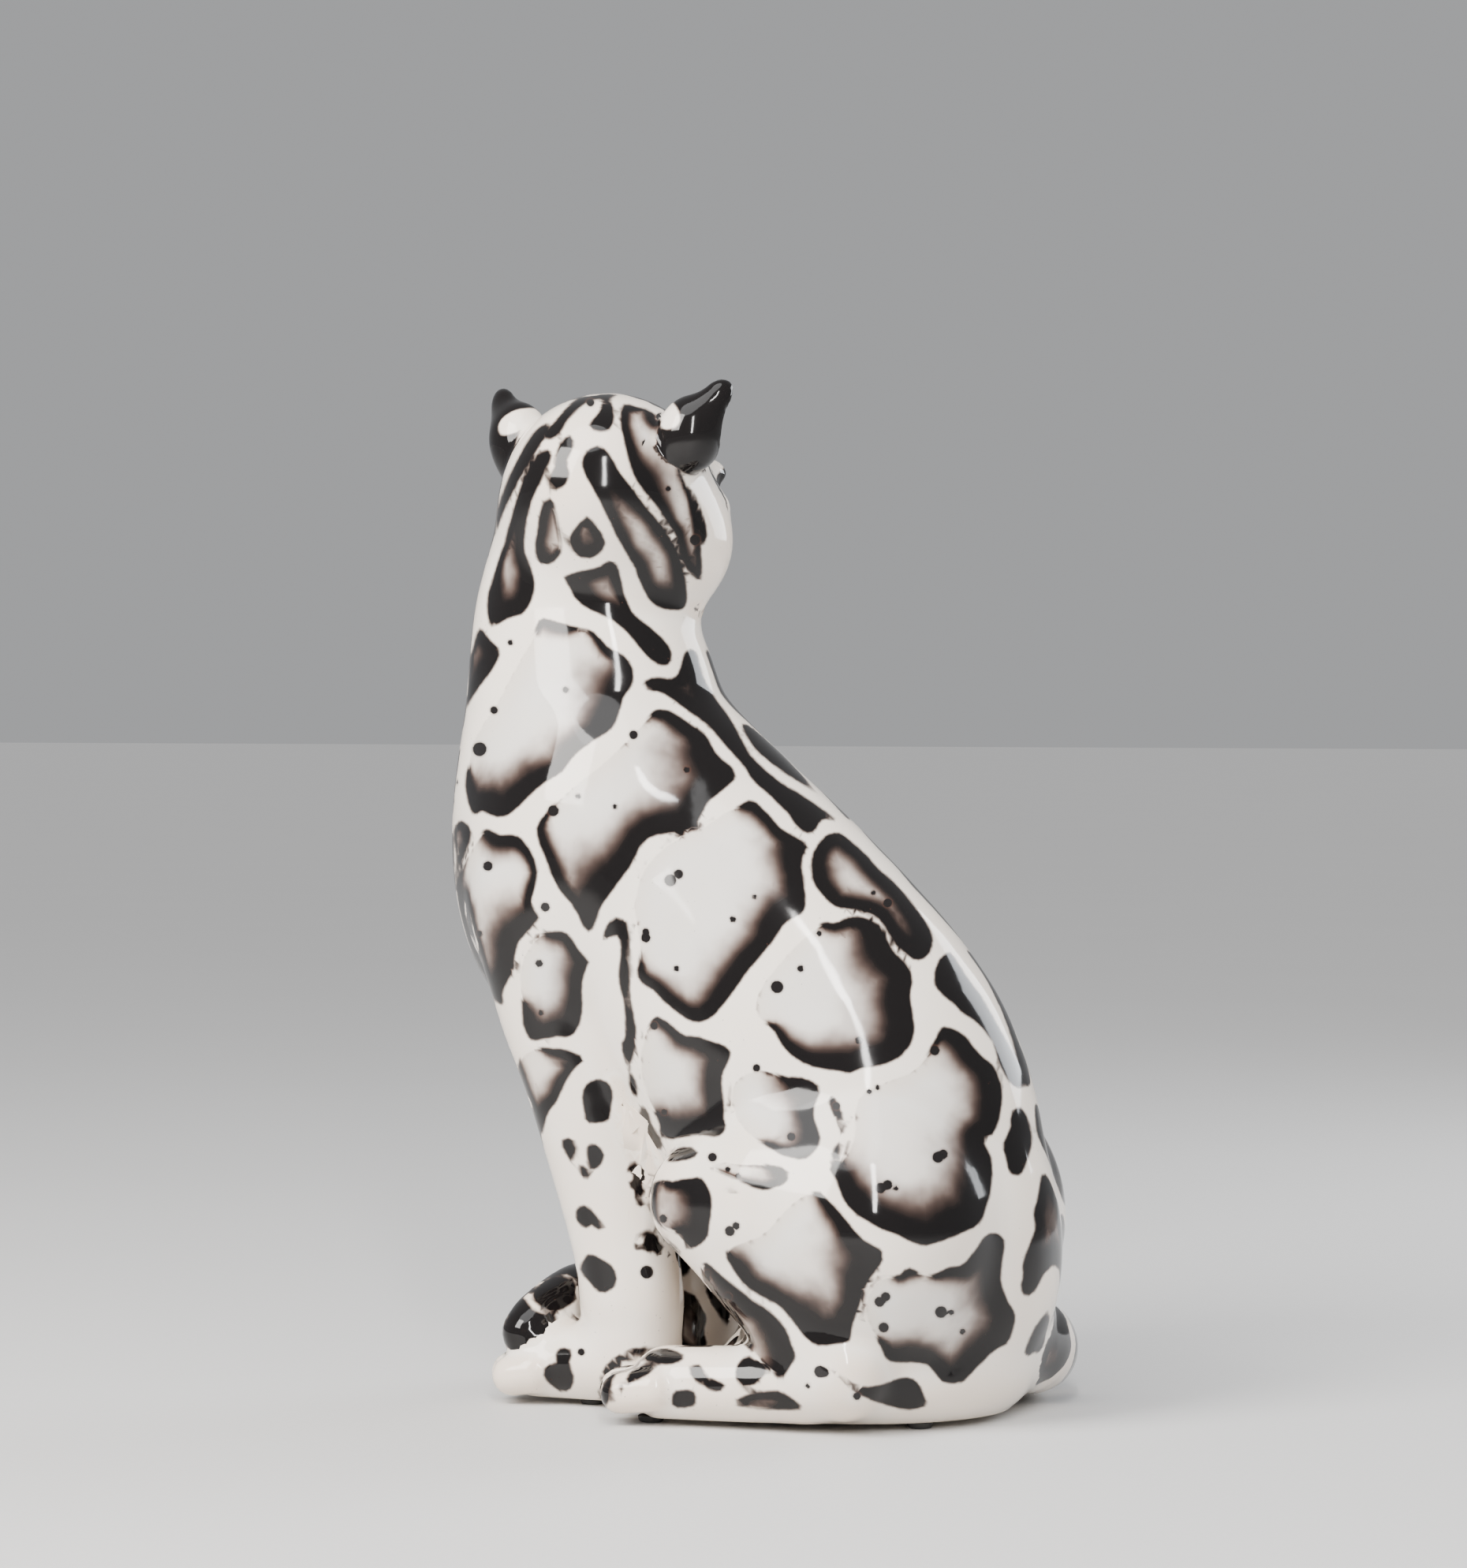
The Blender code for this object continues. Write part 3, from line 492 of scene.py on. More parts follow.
def spun(name, profile, segments=48):
    """A solid turned about Z from (radius, height) points, in metres at the origin."""
    bpy.ops.object.select_all(action="DESELECT")
    bpy.ops.mesh.primitive_plane_add(size=MM)
    ob = bpy.context.object
    ob.name = ob.data.name = name
    bpy.ops.object.mode_set(mode="EDIT")
    bpy.ops.mesh.select_mode(type="VERT")
    bpy.ops.mesh.select_all(action="SELECT")
    bpy.ops.mesh.merge(type="CENTER")
    at = Vector((0, 0, 0))
    for i, (radius, height) in enumerate(profile):
        step = Vector((radius, 0, height)) - at
        if i == 0:
            bpy.ops.transform.translate(value=step)
        else:
            bpy.ops.mesh.extrude_region_move(TRANSFORM_OT_translate={"value": step})
        at += step
    bpy.ops.mesh.select_all(action="SELECT")
    bpy.ops.mesh.spin(steps=segments, angle=TURN, center=(0, 0, 0), axis=(0, 0, 1))
    bpy.ops.mesh.select_all(action="SELECT")
    bpy.ops.mesh.remove_doubles(threshold=0.004 * MM)
    bpy.ops.mesh.normals_make_consistent(inside=False)
    bpy.ops.object.mode_set(mode="OBJECT")
    return ob


def finish_shape(ob, angle=35):
    pick(ob)
    bpy.ops.object.shade_smooth_by_angle(angle=math.radians(angle))


def dress(ob, material):
    ob.data.materials.clear()
    ob.data.materials.append(material)


def belong(ob, nodes, body="lamp"):
    """A new piece rides on a body and stands in for CAD nodes, which it hides."""
    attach(ob, body)
    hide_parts(*nodes)


# The painted outlines are drawn as they are seen from here, in degrees round and above the figure.
OUTLINE_AZIMUTH, OUTLINE_ELEVATION = 115, 1


def outward(azimuth, elevation):
    """The direction from the figure towards a viewer, both angles in degrees."""
    a, e = math.radians(azimuth), math.radians(elevation)
    return math.sin(a) * math.cos(e), -math.cos(a) * math.cos(e), math.sin(e)


# ---- sizes and colours that a user may change ------------------------------------------------------
class LampFigure(PropertyGroup):
    clay_voxel: FloatProperty(name="Clay voxel", description="Mesh size of the figure's skin, in millimetres",
                              default=3.5, min=1.5, max=8)
    cavity_voxel: FloatProperty(name="Cavity voxel", description="Mesh size of the hollow, in millimetres",
                                default=5.0, min=3, max=12)
    settle_rounds: IntProperty(name="Settling rounds", description="How often the skin is evened and brought "
                               "back to the clay's surface", default=7, min=2, max=20)


class LampCoat(PropertyGroup):
    cell_size: FloatProperty(name="Blotch size", description="Spacing of the painted blotches where no "
                             "outline is given, in millimetres", default=27, min=8, max=80)
    channel: FloatProperty(name="Channel", description="Width of the cream lines between blotches, in "
                           "millimetres", default=5.5, min=1, max=15)
    seed: IntProperty(name="Seed", description="Choice of the free blotches", default=11, min=0)


class LampGlaze(PropertyGroup):
    ground: FloatVectorProperty(name="Ground", description="Cream glaze between the blotches",
                                subtype="COLOR", default=(0.90, 0.83, 0.745), min=0, max=1)
    heart: FloatVectorProperty(name="Heart", description="Pale glaze inside a blotch", subtype="COLOR",
                               default=(0.95, 0.925, 0.885), min=0, max=1)
    umber: FloatVectorProperty(name="Umber", description="Brown where black thins out", subtype="COLOR",
                               default=(0.085, 0.035, 0.022), min=0, max=1)
    black: FloatVectorProperty(name="Black", description="Black decoration", subtype="COLOR",
                               default=(0.006, 0.005, 0.005), min=0, max=1)
    body_clay: FloatVectorProperty(name="Clay", description="Fired clay where no glaze lies", subtype="COLOR",
                                   default=(0.74, 0.66, 0.56), min=0, max=1)
    gloss: FloatProperty(name="Gloss", description="Roughness of the glaze", default=0.07, min=0, max=1)


class LampEyes(PropertyGroup):
    iris: FloatVectorProperty(name="Iris", description="Colour round the pupil", subtype="COLOR",
                              default=(0.36, 0.27, 0.05), min=0, max=1)
    rim: FloatVectorProperty(name="Rim", description="Dark edge of the iris", subtype="COLOR",
                             default=(0.03, 0.02, 0.01), min=0, max=1)
    pupil: FloatProperty(name="Pupil", description="Pupil's share of the eye", default=0.34, min=0.1, max=0.9)


class LampStage(PropertyGroup):
    azimuth: FloatProperty(name="Azimuth", description="Camera's turn round the lamp, in degrees",
                           default=OUTLINE_AZIMUTH)
    elevation: FloatProperty(name="Elevation", description="Camera's height angle, in degrees",
                             default=OUTLINE_ELEVATION)
    distance: FloatProperty(name="Distance", description="Camera to its aim", default=2.4, unit="LENGTH")
    lens: FloatProperty(name="Lens", description="Focal length, in millimetres", default=113)
    aim: FloatVectorProperty(name="Aim", description="What the camera looks at, drawn place", subtype="XYZ",
                             unit="LENGTH", default=(0.006, -0.0129, 0.303))
    floor: FloatVectorProperty(name="Floor", description="Colour of the floor", subtype="COLOR",
                               default=(0.62, 0.615, 0.61), min=0, max=1)


# ---- the figure ------------------------------------------------------------------------------------
class LAMP_OT_figure(Operator):
    """Models the hollow ceramic figure and cuts its openings"""
    bl_idname = "leopard_lamp.figure"
    bl_label = "Ceramic figure"

    def execute(self, context):
        sizes = context.scene.lamp_figure
        masses = clay_masses()
        figure = clay_skin("glazed_figure", masses, sizes.clay_voxel)
        settle_on_clay(figure, masses, sizes.settle_rounds)
        refine(figure, in_face)
        refine(figure, near_features)
        settle_on_clay(figure, masses, 4, smooth=0.35)
        refine(figure, near_dots)
        settle_on_clay(figure, masses, 1)
        places = vertex_array(figure.data)
        put_vertices(figure.data, places + vertex_array(figure.data, "normal") * face_relief(places)[:, None])

        hollow = clay_skin("hollow", clay_masses(WALL, HOLLOW_MASSES), sizes.cavity_voxel)
        settle_on_clay(hollow, clay_masses(WALL, HOLLOW_MASSES), 3)
        cut(hollow, block_below(FLOOR_TOP))
        cut(figure, block_below(UNDERSIDE))
        cut(figure, hollow)
        axis = LAMP_AXIS_DRAWN.xy
        cut(figure, cylinder(RECESS_RADIUS, -10, RECESS_TOP, 96, axis))
        cut(figure, cylinder(HAND_HOLE_RADIUS, RECESS_TOP / 2, FLOOR_TOP + 6, 72, axis))
        for side in (1, -1):
            centre, gaze = eye_axes(side)
            turn = Vector(gaze).to_track_quat("Z", "Y").to_matrix().to_4x4()
            cut_bore(figure, EYE_RADIUS + CLEARANCE, -30, 40, 64, Matrix.Translation(centre) @ turn)
        for radius, start, reach in ((CORD_HOLE_RADIUS, 0, 30), (GROMMET_FLANGE + CLEARANCE, -20, 20)):
            mouth = Matrix.Translation(Vector(CORD_INLET_AT) + Vector((start, 0, 0)))
            cut_bore(figure, radius, 0, reach, 48, mouth @ Matrix.Rotation(math.pi / 2, 4, "Y"))
        bpy.context.view_layer.update()
        return {"FINISHED"}


def to_head(places):
    return (places - HEAD_CENTRE) @ HEAD_AXES


def folded_head(places):
    """Across, front to back, and up in the head's frame, with both sides folded onto its left."""
    local = to_head(places)
    local[:, 0] = np.abs(local[:, 0])
    return local


def in_face(places):
    """The face and the ears."""
    wide, deep, high = folded_head(places).T
    ears = (wide > 42) & (wide < 85) & (high > 16) & (high < 80) & (np.abs(deep) < 35)
    face = (wide < 44) & (deep < -30) & (np.abs(high) < 46)
    return ears | face


def near_features(places):
    """The eyes with their lids, and the muzzle."""
    local = folded_head(places)
    wide, deep, high = local.T
    eye = np.linalg.norm(local - EYE_AT, axis=1) < EYE_RADIUS + 7
    muzzle = (wide < 24) & (deep < -55) & (high < 2) & (high > -42)
    return eye | muzzle


# ---- the painted coat ------------------------------------------------------------------------------
# Outlines of the painted blotches as (across, height, width of the black edge), in millimetres on an
# upright plane through the figure's middle, seen from its left hind quarter. Width 0 is an open side.
HEAD_BLOTCHES = [
    [(-68, 488, 3), (-69, 478, 3), (-67, 468, 4), (-65, 460, 5), (-62, 452, 7), (-57, 445, 6),
     (-51, 438, 4), (-46, 430, 3), (-42, 424, 3), (-40, 416, 3), (-37, 408, 3), (-30, 402, 3),
     (-30, 415, 2), (-31, 428, 2), (-36, 445, 1), (-40, 455, 0), (-44, 470, 0), (-48, 478, 0),
     (-55, 485, 0), (-62, 487, 2)],
    [(-80, 468, 8), (-75, 464, 8), (-71, 457, 8), (-66, 450, 7), (-62, 445, 6), (-57, 438, 4),
     (-50, 430, 4), (-46, 424, 4), (-42, 417, 4), (-39, 408, 5), (-37, 398, 6), (-38, 389, 9),
     (-45, 388, 9), (-52, 390, 8), (-56, 394, 6), (-60, 402, 5), (-62, 408, 5), (-66, 415, 4),
     (-70, 422, 4), (-74, 430, 4), (-78, 438, 5), (-82, 446, 5), (-87, 455, 6), (-88, 460, 5),
     (-86, 465, 6)],
    [(-86, 434, 3), (-82, 430, 3), (-78, 424, 4), (-77, 420, 4), (-79, 416, 5), (-84, 413, 6),
     (-90, 414, 6), (-93, 418, 5), (-94, 423, 4), (-91, 428, 2), (-88, 432, 2)],
    [(-103, 443, 4), (-107, 440, 4), (-109, 433, 4), (-110, 425, 4), (-111, 420, 4), (-110, 412, 5),
     (-106, 410, 4), (-101, 412, 3), (-98, 418, 1), (-99, 428, 1), (-101, 438, 1)],
    [(-94, 473, 4), (-92, 470, 4), (-94, 464, 4), (-96, 459, 4), (-94, 455, 4), (-97, 448, 5),
     (-104, 447, 4), (-104, 452, 3), (-101, 458, 3), (-100, 466, 3), (-97, 471, 3)],
    [(-107, 473, 6), (-101, 480, 6), (-93, 489, 6), (-84, 494, 5), (-75, 496, 5), (-70, 494, 4),
     (-75, 491, 5), (-84, 490, 4), (-91, 485, 4), (-96, 479, 5), (-99, 474, 6), (-103, 471, 6)],
    [(-75, 493, 8), (-73, 486, 8), (-73, 479, 8), (-76, 475, 8), (-84, 476, 8), (-84, 479, 6),
     (-80, 484, 6), (-78, 489, 5)],
    [(-105, 466, 5), (-103, 463, 5), (-106, 456, 4), (-110, 447, 4), (-113, 440, 4), (-115, 432, 4),
     (-116, 424, 4), (-116, 416, 4), (-113, 408, 5), (-111, 400, 7), (-113, 392, 8), (-117, 386, 8),
     (-124, 384, 8), (-132, 380, 8), (-134, 386, 7), (-134, 395, 6), (-131, 405, 3), (-129, 412, 2),
     (-126, 420, 2), (-124, 428, 3), (-121, 438, 3), (-118, 448, 4), (-114, 457, 5), (-109, 464, 5)],
    [(-105, 479, 3), (-112, 474, 3), (-118, 464, 3), (-124, 452, 3), (-129, 438, 3), (-133, 425, 2),
     (-131, 424, 2), (-127, 434, 3), (-121, 447, 3), (-116, 456, 3), (-110, 466, 3), (-106, 473, 3)],
    [(-55, 494, 6), (-48, 493, 6), (-44, 490, 6), (-50, 488, 6), (-55, 491, 6)],
    [(-97, 404, 6), (-88, 407, 6), (-79, 409, 5), (-75, 412, 6), (-71, 410, 6), (-69, 402, 4),
     (-67, 394, 3), (-63, 386, 3), (-57, 381, 3), (-50, 375, 4), (-45, 369, 6), (-45, 362, 8),
     (-50, 361, 9), (-56, 365, 9), (-61, 371, 8), (-67, 378, 7), (-75, 384, 6), (-84, 388, 7),
     (-91, 393, 8), (-94, 399, 8)],
    [(-38, 449, 2), (-35, 442, 2), (-32, 432, 2), (-30, 420, 2), (-27, 424, 2), (-29, 434, 2),
     (-33, 444, 2)],
]
BODY_BLOTCHES = [
    [(-108, 384, 3), (-98, 381, 3), (-88, 379, 1), (-82, 377, 2), (-76, 370, 3), (-70, 367, 4),
     (-66, 364, 5), (-63, 358, 7), (-64, 351, 9), (-68, 345, 10), (-70, 338, 10), (-73, 331, 9),
     (-78, 327, 7), (-86, 322, 6), (-92, 317, 6), (-98, 309, 5), (-106, 304, 7), (-112, 299, 8),
     (-119, 292, 9), (-126, 287, 9), (-133, 288, 10), (-137, 290, 9), (-141, 288, 9), (-144, 296, 6),
     (-145, 305, 3), (-143, 315, 0), (-141, 325, 0), (-135, 335, 0), (-128, 346, 0), (-122, 358, 0),
     (-116, 368, 0), (-111, 377, 1)],
    [(-138, 379, 3), (-133, 373, 5), (-128, 368, 7), (-131, 360, 7), (-137, 352, 5), (-143, 343, 3),
     (-149, 332, 2), (-152, 328, 1), (-148, 345, 0), (-144, 360, 0), (-141, 370, 1)],
    [(-52, 339, 3), (-46, 339, 4), (-38, 334, 5), (-28, 327, 7), (-24, 320, 10), (-20, 315, 13),
     (-15, 311, 16), (-13, 306, 17), (-16, 303, 15), (-22, 298, 12), (-27, 294, 10), (-30, 288, 10),
     (-34, 282, 9), (-40, 280, 9), (-48, 279, 9), (-55, 277, 8), (-60, 272, 8), (-64, 264, 9),
     (-69, 257, 9), (-74, 250, 12), (-79, 243, 10), (-81, 237, 6), (-84, 231, 5), (-87, 233, 4),
     (-92, 243, 4), (-98, 250, 4), (-102, 257, 4), (-105, 265, 4), (-110, 278, 3), (-108, 286, 2),
     (-95, 300, 0), (-80, 312, 0), (-65, 326, 0), (-55, 337, 1)],
    [(-148, 285, 3), (-144, 283, 4), (-142, 279, 4), (-144, 272, 3), (-148, 262, 3), (-150, 256, 2),
     (-149, 268, 1), (-151, 278, 1)],
    [(-135, 281, 2), (-128, 278, 5), (-120, 278, 5), (-115, 273, 4), (-112, 268, 3), (-110, 260, 2),
     (-111, 253, 3), (-113, 244, 3), (-109, 238, 5), (-113, 233, 8), (-119, 226, 9), (-121, 218, 8),
     (-122, 211, 8), (-125, 206, 8), (-127, 200, 5), (-126, 195, 4), (-131, 198, 3), (-138, 208, 2),
     (-145, 222, 2), (-149, 235, 3), (-150, 250, 3), (-147, 262, 1), (-140, 275, 0)],
    [(-58, 353, 5), (-52, 355, 5), (-45, 354, 5), (-41, 357, 6), (-39, 364, 7), (-37, 368, 7),
     (-33, 368, 7), (-31, 362, 7), (-29, 355, 7), (-24, 346, 8), (-18, 338, 8), (-13, 330, 8),
     (-9, 322, 8), (-5, 316, 8), (0, 311, 8), (10, 303, 8), (20, 297, 8), (30, 290, 8), (36, 285, 6),
     (32, 286, 8), (28, 285, 8), (26, 281, 8), (22, 279, 8), (17, 282, 8), (13, 288, 8), (8, 293, 8),
     (2, 299, 8), (-4, 304, 8), (-8, 310, 8), (-12, 315, 8), (-20, 324, 8), (-26, 331, 8), (-38, 340, 6),
     (-45, 345, 5), (-50, 348, 5), (-57, 349, 5)],
    [(-10, 332, 6), (-4, 334, 6), (6, 328, 5), (16, 316, 5), (28, 303, 6), (40, 290, 6), (42, 285, 6),
     (36, 290, 6), (26, 299, 6), (13, 307, 6), (2, 315, 6), (-5, 322, 6)],
    [(-12, 292, 1), (-7, 295, 4), (-3, 294, 4), (0, 291, 4), (4, 287, 4), (8, 282, 4), (13, 279, 5),
     (18, 276, 5), (22, 273, 7), (20, 269, 9), (19, 263, 8), (20, 255, 7), (21, 247, 8), (20, 241, 9),
     (15, 238, 9), (10, 234, 9), (6, 228, 8), (3, 224, 7), (-3, 217, 8), (-8, 211, 8), (-12, 205, 8),
     (-18, 197, 7), (-24, 190, 7), (-30, 187, 6), (-36, 188, 6), (-42, 192, 5), (-48, 197, 5),
     (-54, 203, 4), (-59, 206, 4), (-61, 211, 3), (-60, 218, 1), (-61, 230, 0), (-63, 245, 0),
     (-58, 262, 0), (-45, 275, 0), (-30, 282, 0), (-18, 290, 0)],
    [(34, 279, 6), (30, 277, 6), (26, 272, 6), (24, 266, 6), (24, 258, 7), (26, 253, 7), (31, 247, 6),
     (36, 243, 5), (44, 242, 5), (52, 240, 5), (56, 238, 5), (60, 233, 5), (64, 226, 6), (70, 220, 8),
     (75, 217, 9), (80, 219, 9), (83, 225, 9), (82, 231, 9), (78, 238, 7), (72, 246, 6), (64, 255, 5),
     (56, 262, 5), (50, 269, 5), (43, 275, 5), (38, 279, 5)],
    [(30, 236, 2), (35, 235, 3), (42, 238, 4), (48, 238, 5), (54, 236, 7), (58, 232, 9), (61, 226, 10),
     (65, 220, 11), (71, 214, 11), (73, 207, 11), (72, 200, 12), (73, 192, 12), (74, 183, 13),
     (72, 176, 12), (67, 170, 11), (58, 166, 9), (50, 165, 8), (42, 162, 8), (38, 163, 8), (30, 164, 7),
     (22, 166, 6), (15, 170, 5), (10, 175, 4), (7, 180, 3), (5, 184, 2), (-2, 188, 0), (-4, 196, 0),
     (0, 206, 0), (8, 216, 0), (17, 226, 0), (25, 232, 0)],
    [(91, 221, 12), (86, 217, 12), (84, 211, 12), (84, 205, 12), (88, 200, 10), (93, 196, 8), (98, 191, 8),
     (103, 188, 7), (108, 183, 6), (113, 176, 6), (115, 168, 6), (119, 160, 6), (124, 155, 5),
     (128, 158, 5), (120, 175, 5), (113, 188, 5), (106, 200, 5), (100, 208, 6), (95, 216, 8)],
    [(84, 178, 2), (87, 184, 4), (92, 184, 6), (99, 180, 7), (102, 176, 7), (106, 171, 7), (112, 166, 8),
     (115, 160, 9), (117, 152, 9), (116, 144, 9), (115, 138, 9), (112, 132, 9), (107, 130, 8),
     (111, 122, 10), (112, 114, 12), (111, 104, 12), (109, 97, 12), (106, 89, 13), (99, 85, 13),
     (92, 82, 12), (84, 79, 11), (78, 78, 11), (72, 80, 11), (66, 83, 10), (58, 86, 10), (51, 90, 9),
     (46, 93, 9), (41, 98, 9), (38, 104, 8), (36, 110, 7), (33, 115, 5), (34, 118, 3), (38, 119, 1),
     (44, 130, 0), (46, 150, 0), (60, 158, 0), (75, 165, 0)],
    [(12, 160, 2), (18, 160, 6), (24, 158, 8), (28, 155, 8), (27, 151, 6), (25, 146, 6), (25, 140, 6),
     (27, 134, 7), (28, 129, 8), (25, 124, 7), (20, 120, 6), (10, 122, 3), (3, 126, 2), (-5, 130, 0),
     (-12, 138, 0), (-16, 150, 0), (-12, 160, 0), (0, 164, 0)],
    [(33, 150, 3), (35, 150, 3), (38, 144, 3), (40, 135, 3), (38, 133, 3), (36, 139, 3), (33, 146, 3)],
    [(40, 130, 2), (36, 127, 3), (33, 122, 3), (33, 119, 3), (36, 121, 3), (39, 126, 2)],
    [(-53, 189, 2), (-48, 188, 3), (-43, 184, 3), (-38, 180, 4), (-32, 180, 5), (-27, 178, 6),
     (-20, 176, 7), (-16, 173, 8), (-17, 167, 8), (-20, 161, 6), (-20, 153, 6), (-19, 146, 6),
     (-19, 140, 7), (-18, 135, 8), (-22, 131, 8), (-30, 132, 8), (-38, 131, 8), (-45, 130, 8),
     (-50, 132, 7), (-50, 137, 5), (-54, 145, 0), (-58, 155, 0), (-60, 168, 0), (-58, 180, 0)],
    [(-103, 231, 3), (-98, 231, 4), (-94, 229, 4), (-91, 224, 4), (-87, 219, 5), (-84, 218, 5),
     (-86, 213, 6), (-88, 207, 6), (-88, 200, 6), (-88, 192, 7), (-90, 184, 8), (-94, 180, 8),
     (-100, 180, 7), (-106, 179, 6), (-112, 178, 7), (-115, 181, 7), (-117, 187, 5), (-117, 193, 3),
     (-118, 200, 0), (-119, 212, 0), (-114, 224, 0), (-108, 230, 0)],
    [(-78, 227, 4), (-76, 234, 7), (-72, 238, 7), (-67, 236, 7), (-65, 228, 5), (-65, 215, 4),
     (-65, 206, 4), (-64, 196, 3), (-62, 186, 3), (-62, 176, 3), (-64, 168, 3), (-66, 166, 3),
     (-69, 175, 3), (-67, 180, 2), (-67, 190, 2), (-68, 198, 3), (-70, 206, 4), (-70, 214, 4),
     (-69, 224, 4), (-71, 229, 4), (-75, 228, 5)],
    [(-65, 163, 2), (-62, 158, 3), (-61, 151, 3), (-63, 151, 3), (-65, 157, 3)],
    [(-59, 146, 3), (-56, 143, 3), (-54, 136, 3), (-50, 131, 4), (-49, 126, 4), (-54, 126, 4),
     (-58, 133, 4), (-60, 140, 4)],
    [(-102, 174, 3), (-95, 173, 4), (-87, 169, 5), (-92, 164, 3), (-97, 156, 4), (-100, 149, 4),
     (-105, 142, 5), (-107, 134, 4), (-110, 131, 3), (-113, 145, 0), (-117, 158, 0), (-119, 168, 0),
     (-112, 174, 0)],
    [(-84, 158, 9), (-80, 159, 9), (-75, 157, 8), (-73, 152, 7), (-74, 145, 6), (-75, 139, 8),
     (-79, 138, 9), (-86, 138, 9), (-87, 144, 7), (-88, 150, 8), (-87, 155, 9)],
    [(122, 144, 8), (126, 145, 8), (129, 140, 8), (131, 133, 6), (131, 127, 6), (129, 120, 7),
     (127, 114, 8), (124, 112, 8), (120, 114, 8), (119, 120, 7), (117, 127, 6), (119, 131, 6),
     (121, 136, 7), (121, 141, 8)],
    [(136, 112, 6), (138, 113, 6), (141, 110, 5), (143, 104, 4), (145, 96, 4), (146, 88, 4), (146, 80, 4),
     (145, 72, 6), (141, 68, 8), (137, 64, 9), (134, 58, 9), (130, 53, 9), (127, 54, 9), (126, 58, 9),
     (127, 63, 9), (127, 70, 7), (130, 78, 5), (133, 86, 4), (132, 94, 4), (134, 100, 4), (135, 106, 4)],
    [(149, 64, 6), (151, 62, 6), (150, 52, 6), (148, 44, 6), (146, 38, 6), (143, 34, 6), (139, 30, 7),
     (132, 26, 8), (129, 24, 8), (128, 27, 8), (131, 34, 8), (134, 40, 7), (139, 46, 5), (143, 55, 5),
     (145, 60, 6)],
    [(-49, 120, 2), (-46, 123, 2), (-42, 125, 2), (-36, 126, 3), (-32, 124, 4), (-32, 122, 4),
     (-36, 120, 3), (-42, 119, 2), (-47, 119, 1)],
    [(13, 112, 4), (10, 108, 4), (5, 106, 3), (0, 105, 3), (-6, 107, 2), (-12, 110, 1), (-20, 113, 1),
     (-26, 117, 0), (-22, 119, 0), (-12, 118, 0), (-2, 118, 0), (4, 117, 2), (9, 116, 4), (12, 114, 5)],
    [(-19, 105.5, 2), (-14, 106, 2), (-9, 105, 2), (-13, 103.5, 2), (-17, 104, 2)],
    [(-44, 109, 3), (-40, 110, 4), (-33, 111, 7), (-30, 111, 8), (-27, 107, 9), (-25, 101, 9),
     (-25, 94, 9), (-26, 88, 9), (-27, 82, 9), (-30, 79, 8), (-33, 77, 8), (-37, 76, 5), (-38, 79, 5),
     (-39, 83, 4), (-42, 84, 1), (-47, 86, 0), (-50, 88, 0), (-55, 95, 0), (-57, 103, 0), (-54, 108, 0),
     (-48, 110, 1)],
    [(28, 104, 2), (31, 101, 3), (35, 97, 4), (40, 91, 5), (44, 86, 6), (50, 80, 8), (56, 77, 11),
     (59, 73, 12), (57, 68, 12), (53, 63, 10), (50, 58, 9), (48, 52, 8), (46, 46, 8), (44, 40, 9),
     (43, 34, 11), (42, 31, 12), (36, 30, 12), (28, 29, 12), (22, 32, 12), (18, 37, 9), (14, 42, 8),
     (9, 48, 6), (2, 52, 6), (-5, 56, 5), (-10, 60, 5), (-14, 66, 5), (-18, 73, 2), (-15, 78, 0),
     (0, 84, 0), (10, 95, 0), (20, 103, 0)],
    [(-28, 70, 2), (-22, 65, 3), (-16, 60, 5), (-11, 56, 6), (-5, 51, 6), (2, 47, 6), (6, 43, 7),
     (9, 40, 8), (12, 36, 9), (14, 30, 9), (16, 24, 9), (14, 20, 8), (11, 15, 6), (9, 12, 3), (6, 15, 1),
     (0, 20, 0), (-5, 26, 0), (-12, 33, 0), (-20, 43, 0), (-25, 52, 0), (-28, 60, 0), (-30, 66, 0)],
    [(66, 63, 2), (69, 66, 3), (72, 67, 3), (76, 65, 1), (80, 64, 0), (84, 64, 2), (90, 67, 4),
     (96, 68, 5), (100, 71, 6), (104, 76, 8), (108, 82, 9), (111, 84, 10), (116, 83, 10), (118, 80, 10),
     (117, 72, 9), (116, 64, 8), (117, 57, 9), (120, 50, 9), (123, 45, 10), (123, 41, 10), (121, 34, 10),
     (119, 30, 9), (113, 27, 8), (109, 23, 8), (104, 18, 8), (100, 14, 8), (97, 11, 8), (91, 11, 7),
     (87, 12, 7), (84, 16, 7), (80, 20, 6), (74, 21, 6), (66, 21, 6), (61, 22, 5), (59, 25, 4),
     (57, 30, 2), (53, 36, 0), (50, 44, 0), (50, 52, 0), (55, 60, 0), (60, 63, 0)],
    [(32, 19, 1), (38, 15, 2), (43, 11.5, 3), (50, 9, 6), (58, 10, 8), (65, 12.5, 10), (72, 13.5, 10),
     (77, 9, 9), (79, 4, 8), (80, 0, 8), (70, -2, 8), (55, 2, 5), (48, 5, 3), (42, 9, 2), (36, 15, 1)],
    [(-36, 17, 9), (-34, 19.5, 9), (-30, 19.5, 9), (-28, 15, 9), (-25, 13, 9), (-20, 11, 9), (-18, 9, 9),
     (-20, 7, 9), (-25, 7, 9), (-29, 10, 9), (-33, 12, 9)],
    [(-13, 15, 4), (-12, 20, 4), (-8, 24, 4), (-4, 22, 4), (0, 20, 3), (2, 17, 3), (-1, 13, 4),
     (-5, 10, 4), (-9, 9.5, 4), (-12, 11, 4)],
    [(-44, 3, 9), (-43, 7, 9), (-34, 7, 9), (-33, 0, 9), (-43, -1, 9)],
    [(-15, 1, 3), (-8, 5, 3), (0, 6.5, 3), (8, 7, 4), (12, 5, 5), (16, 2, 5), (20, -2, 3), (10, -2, 2),
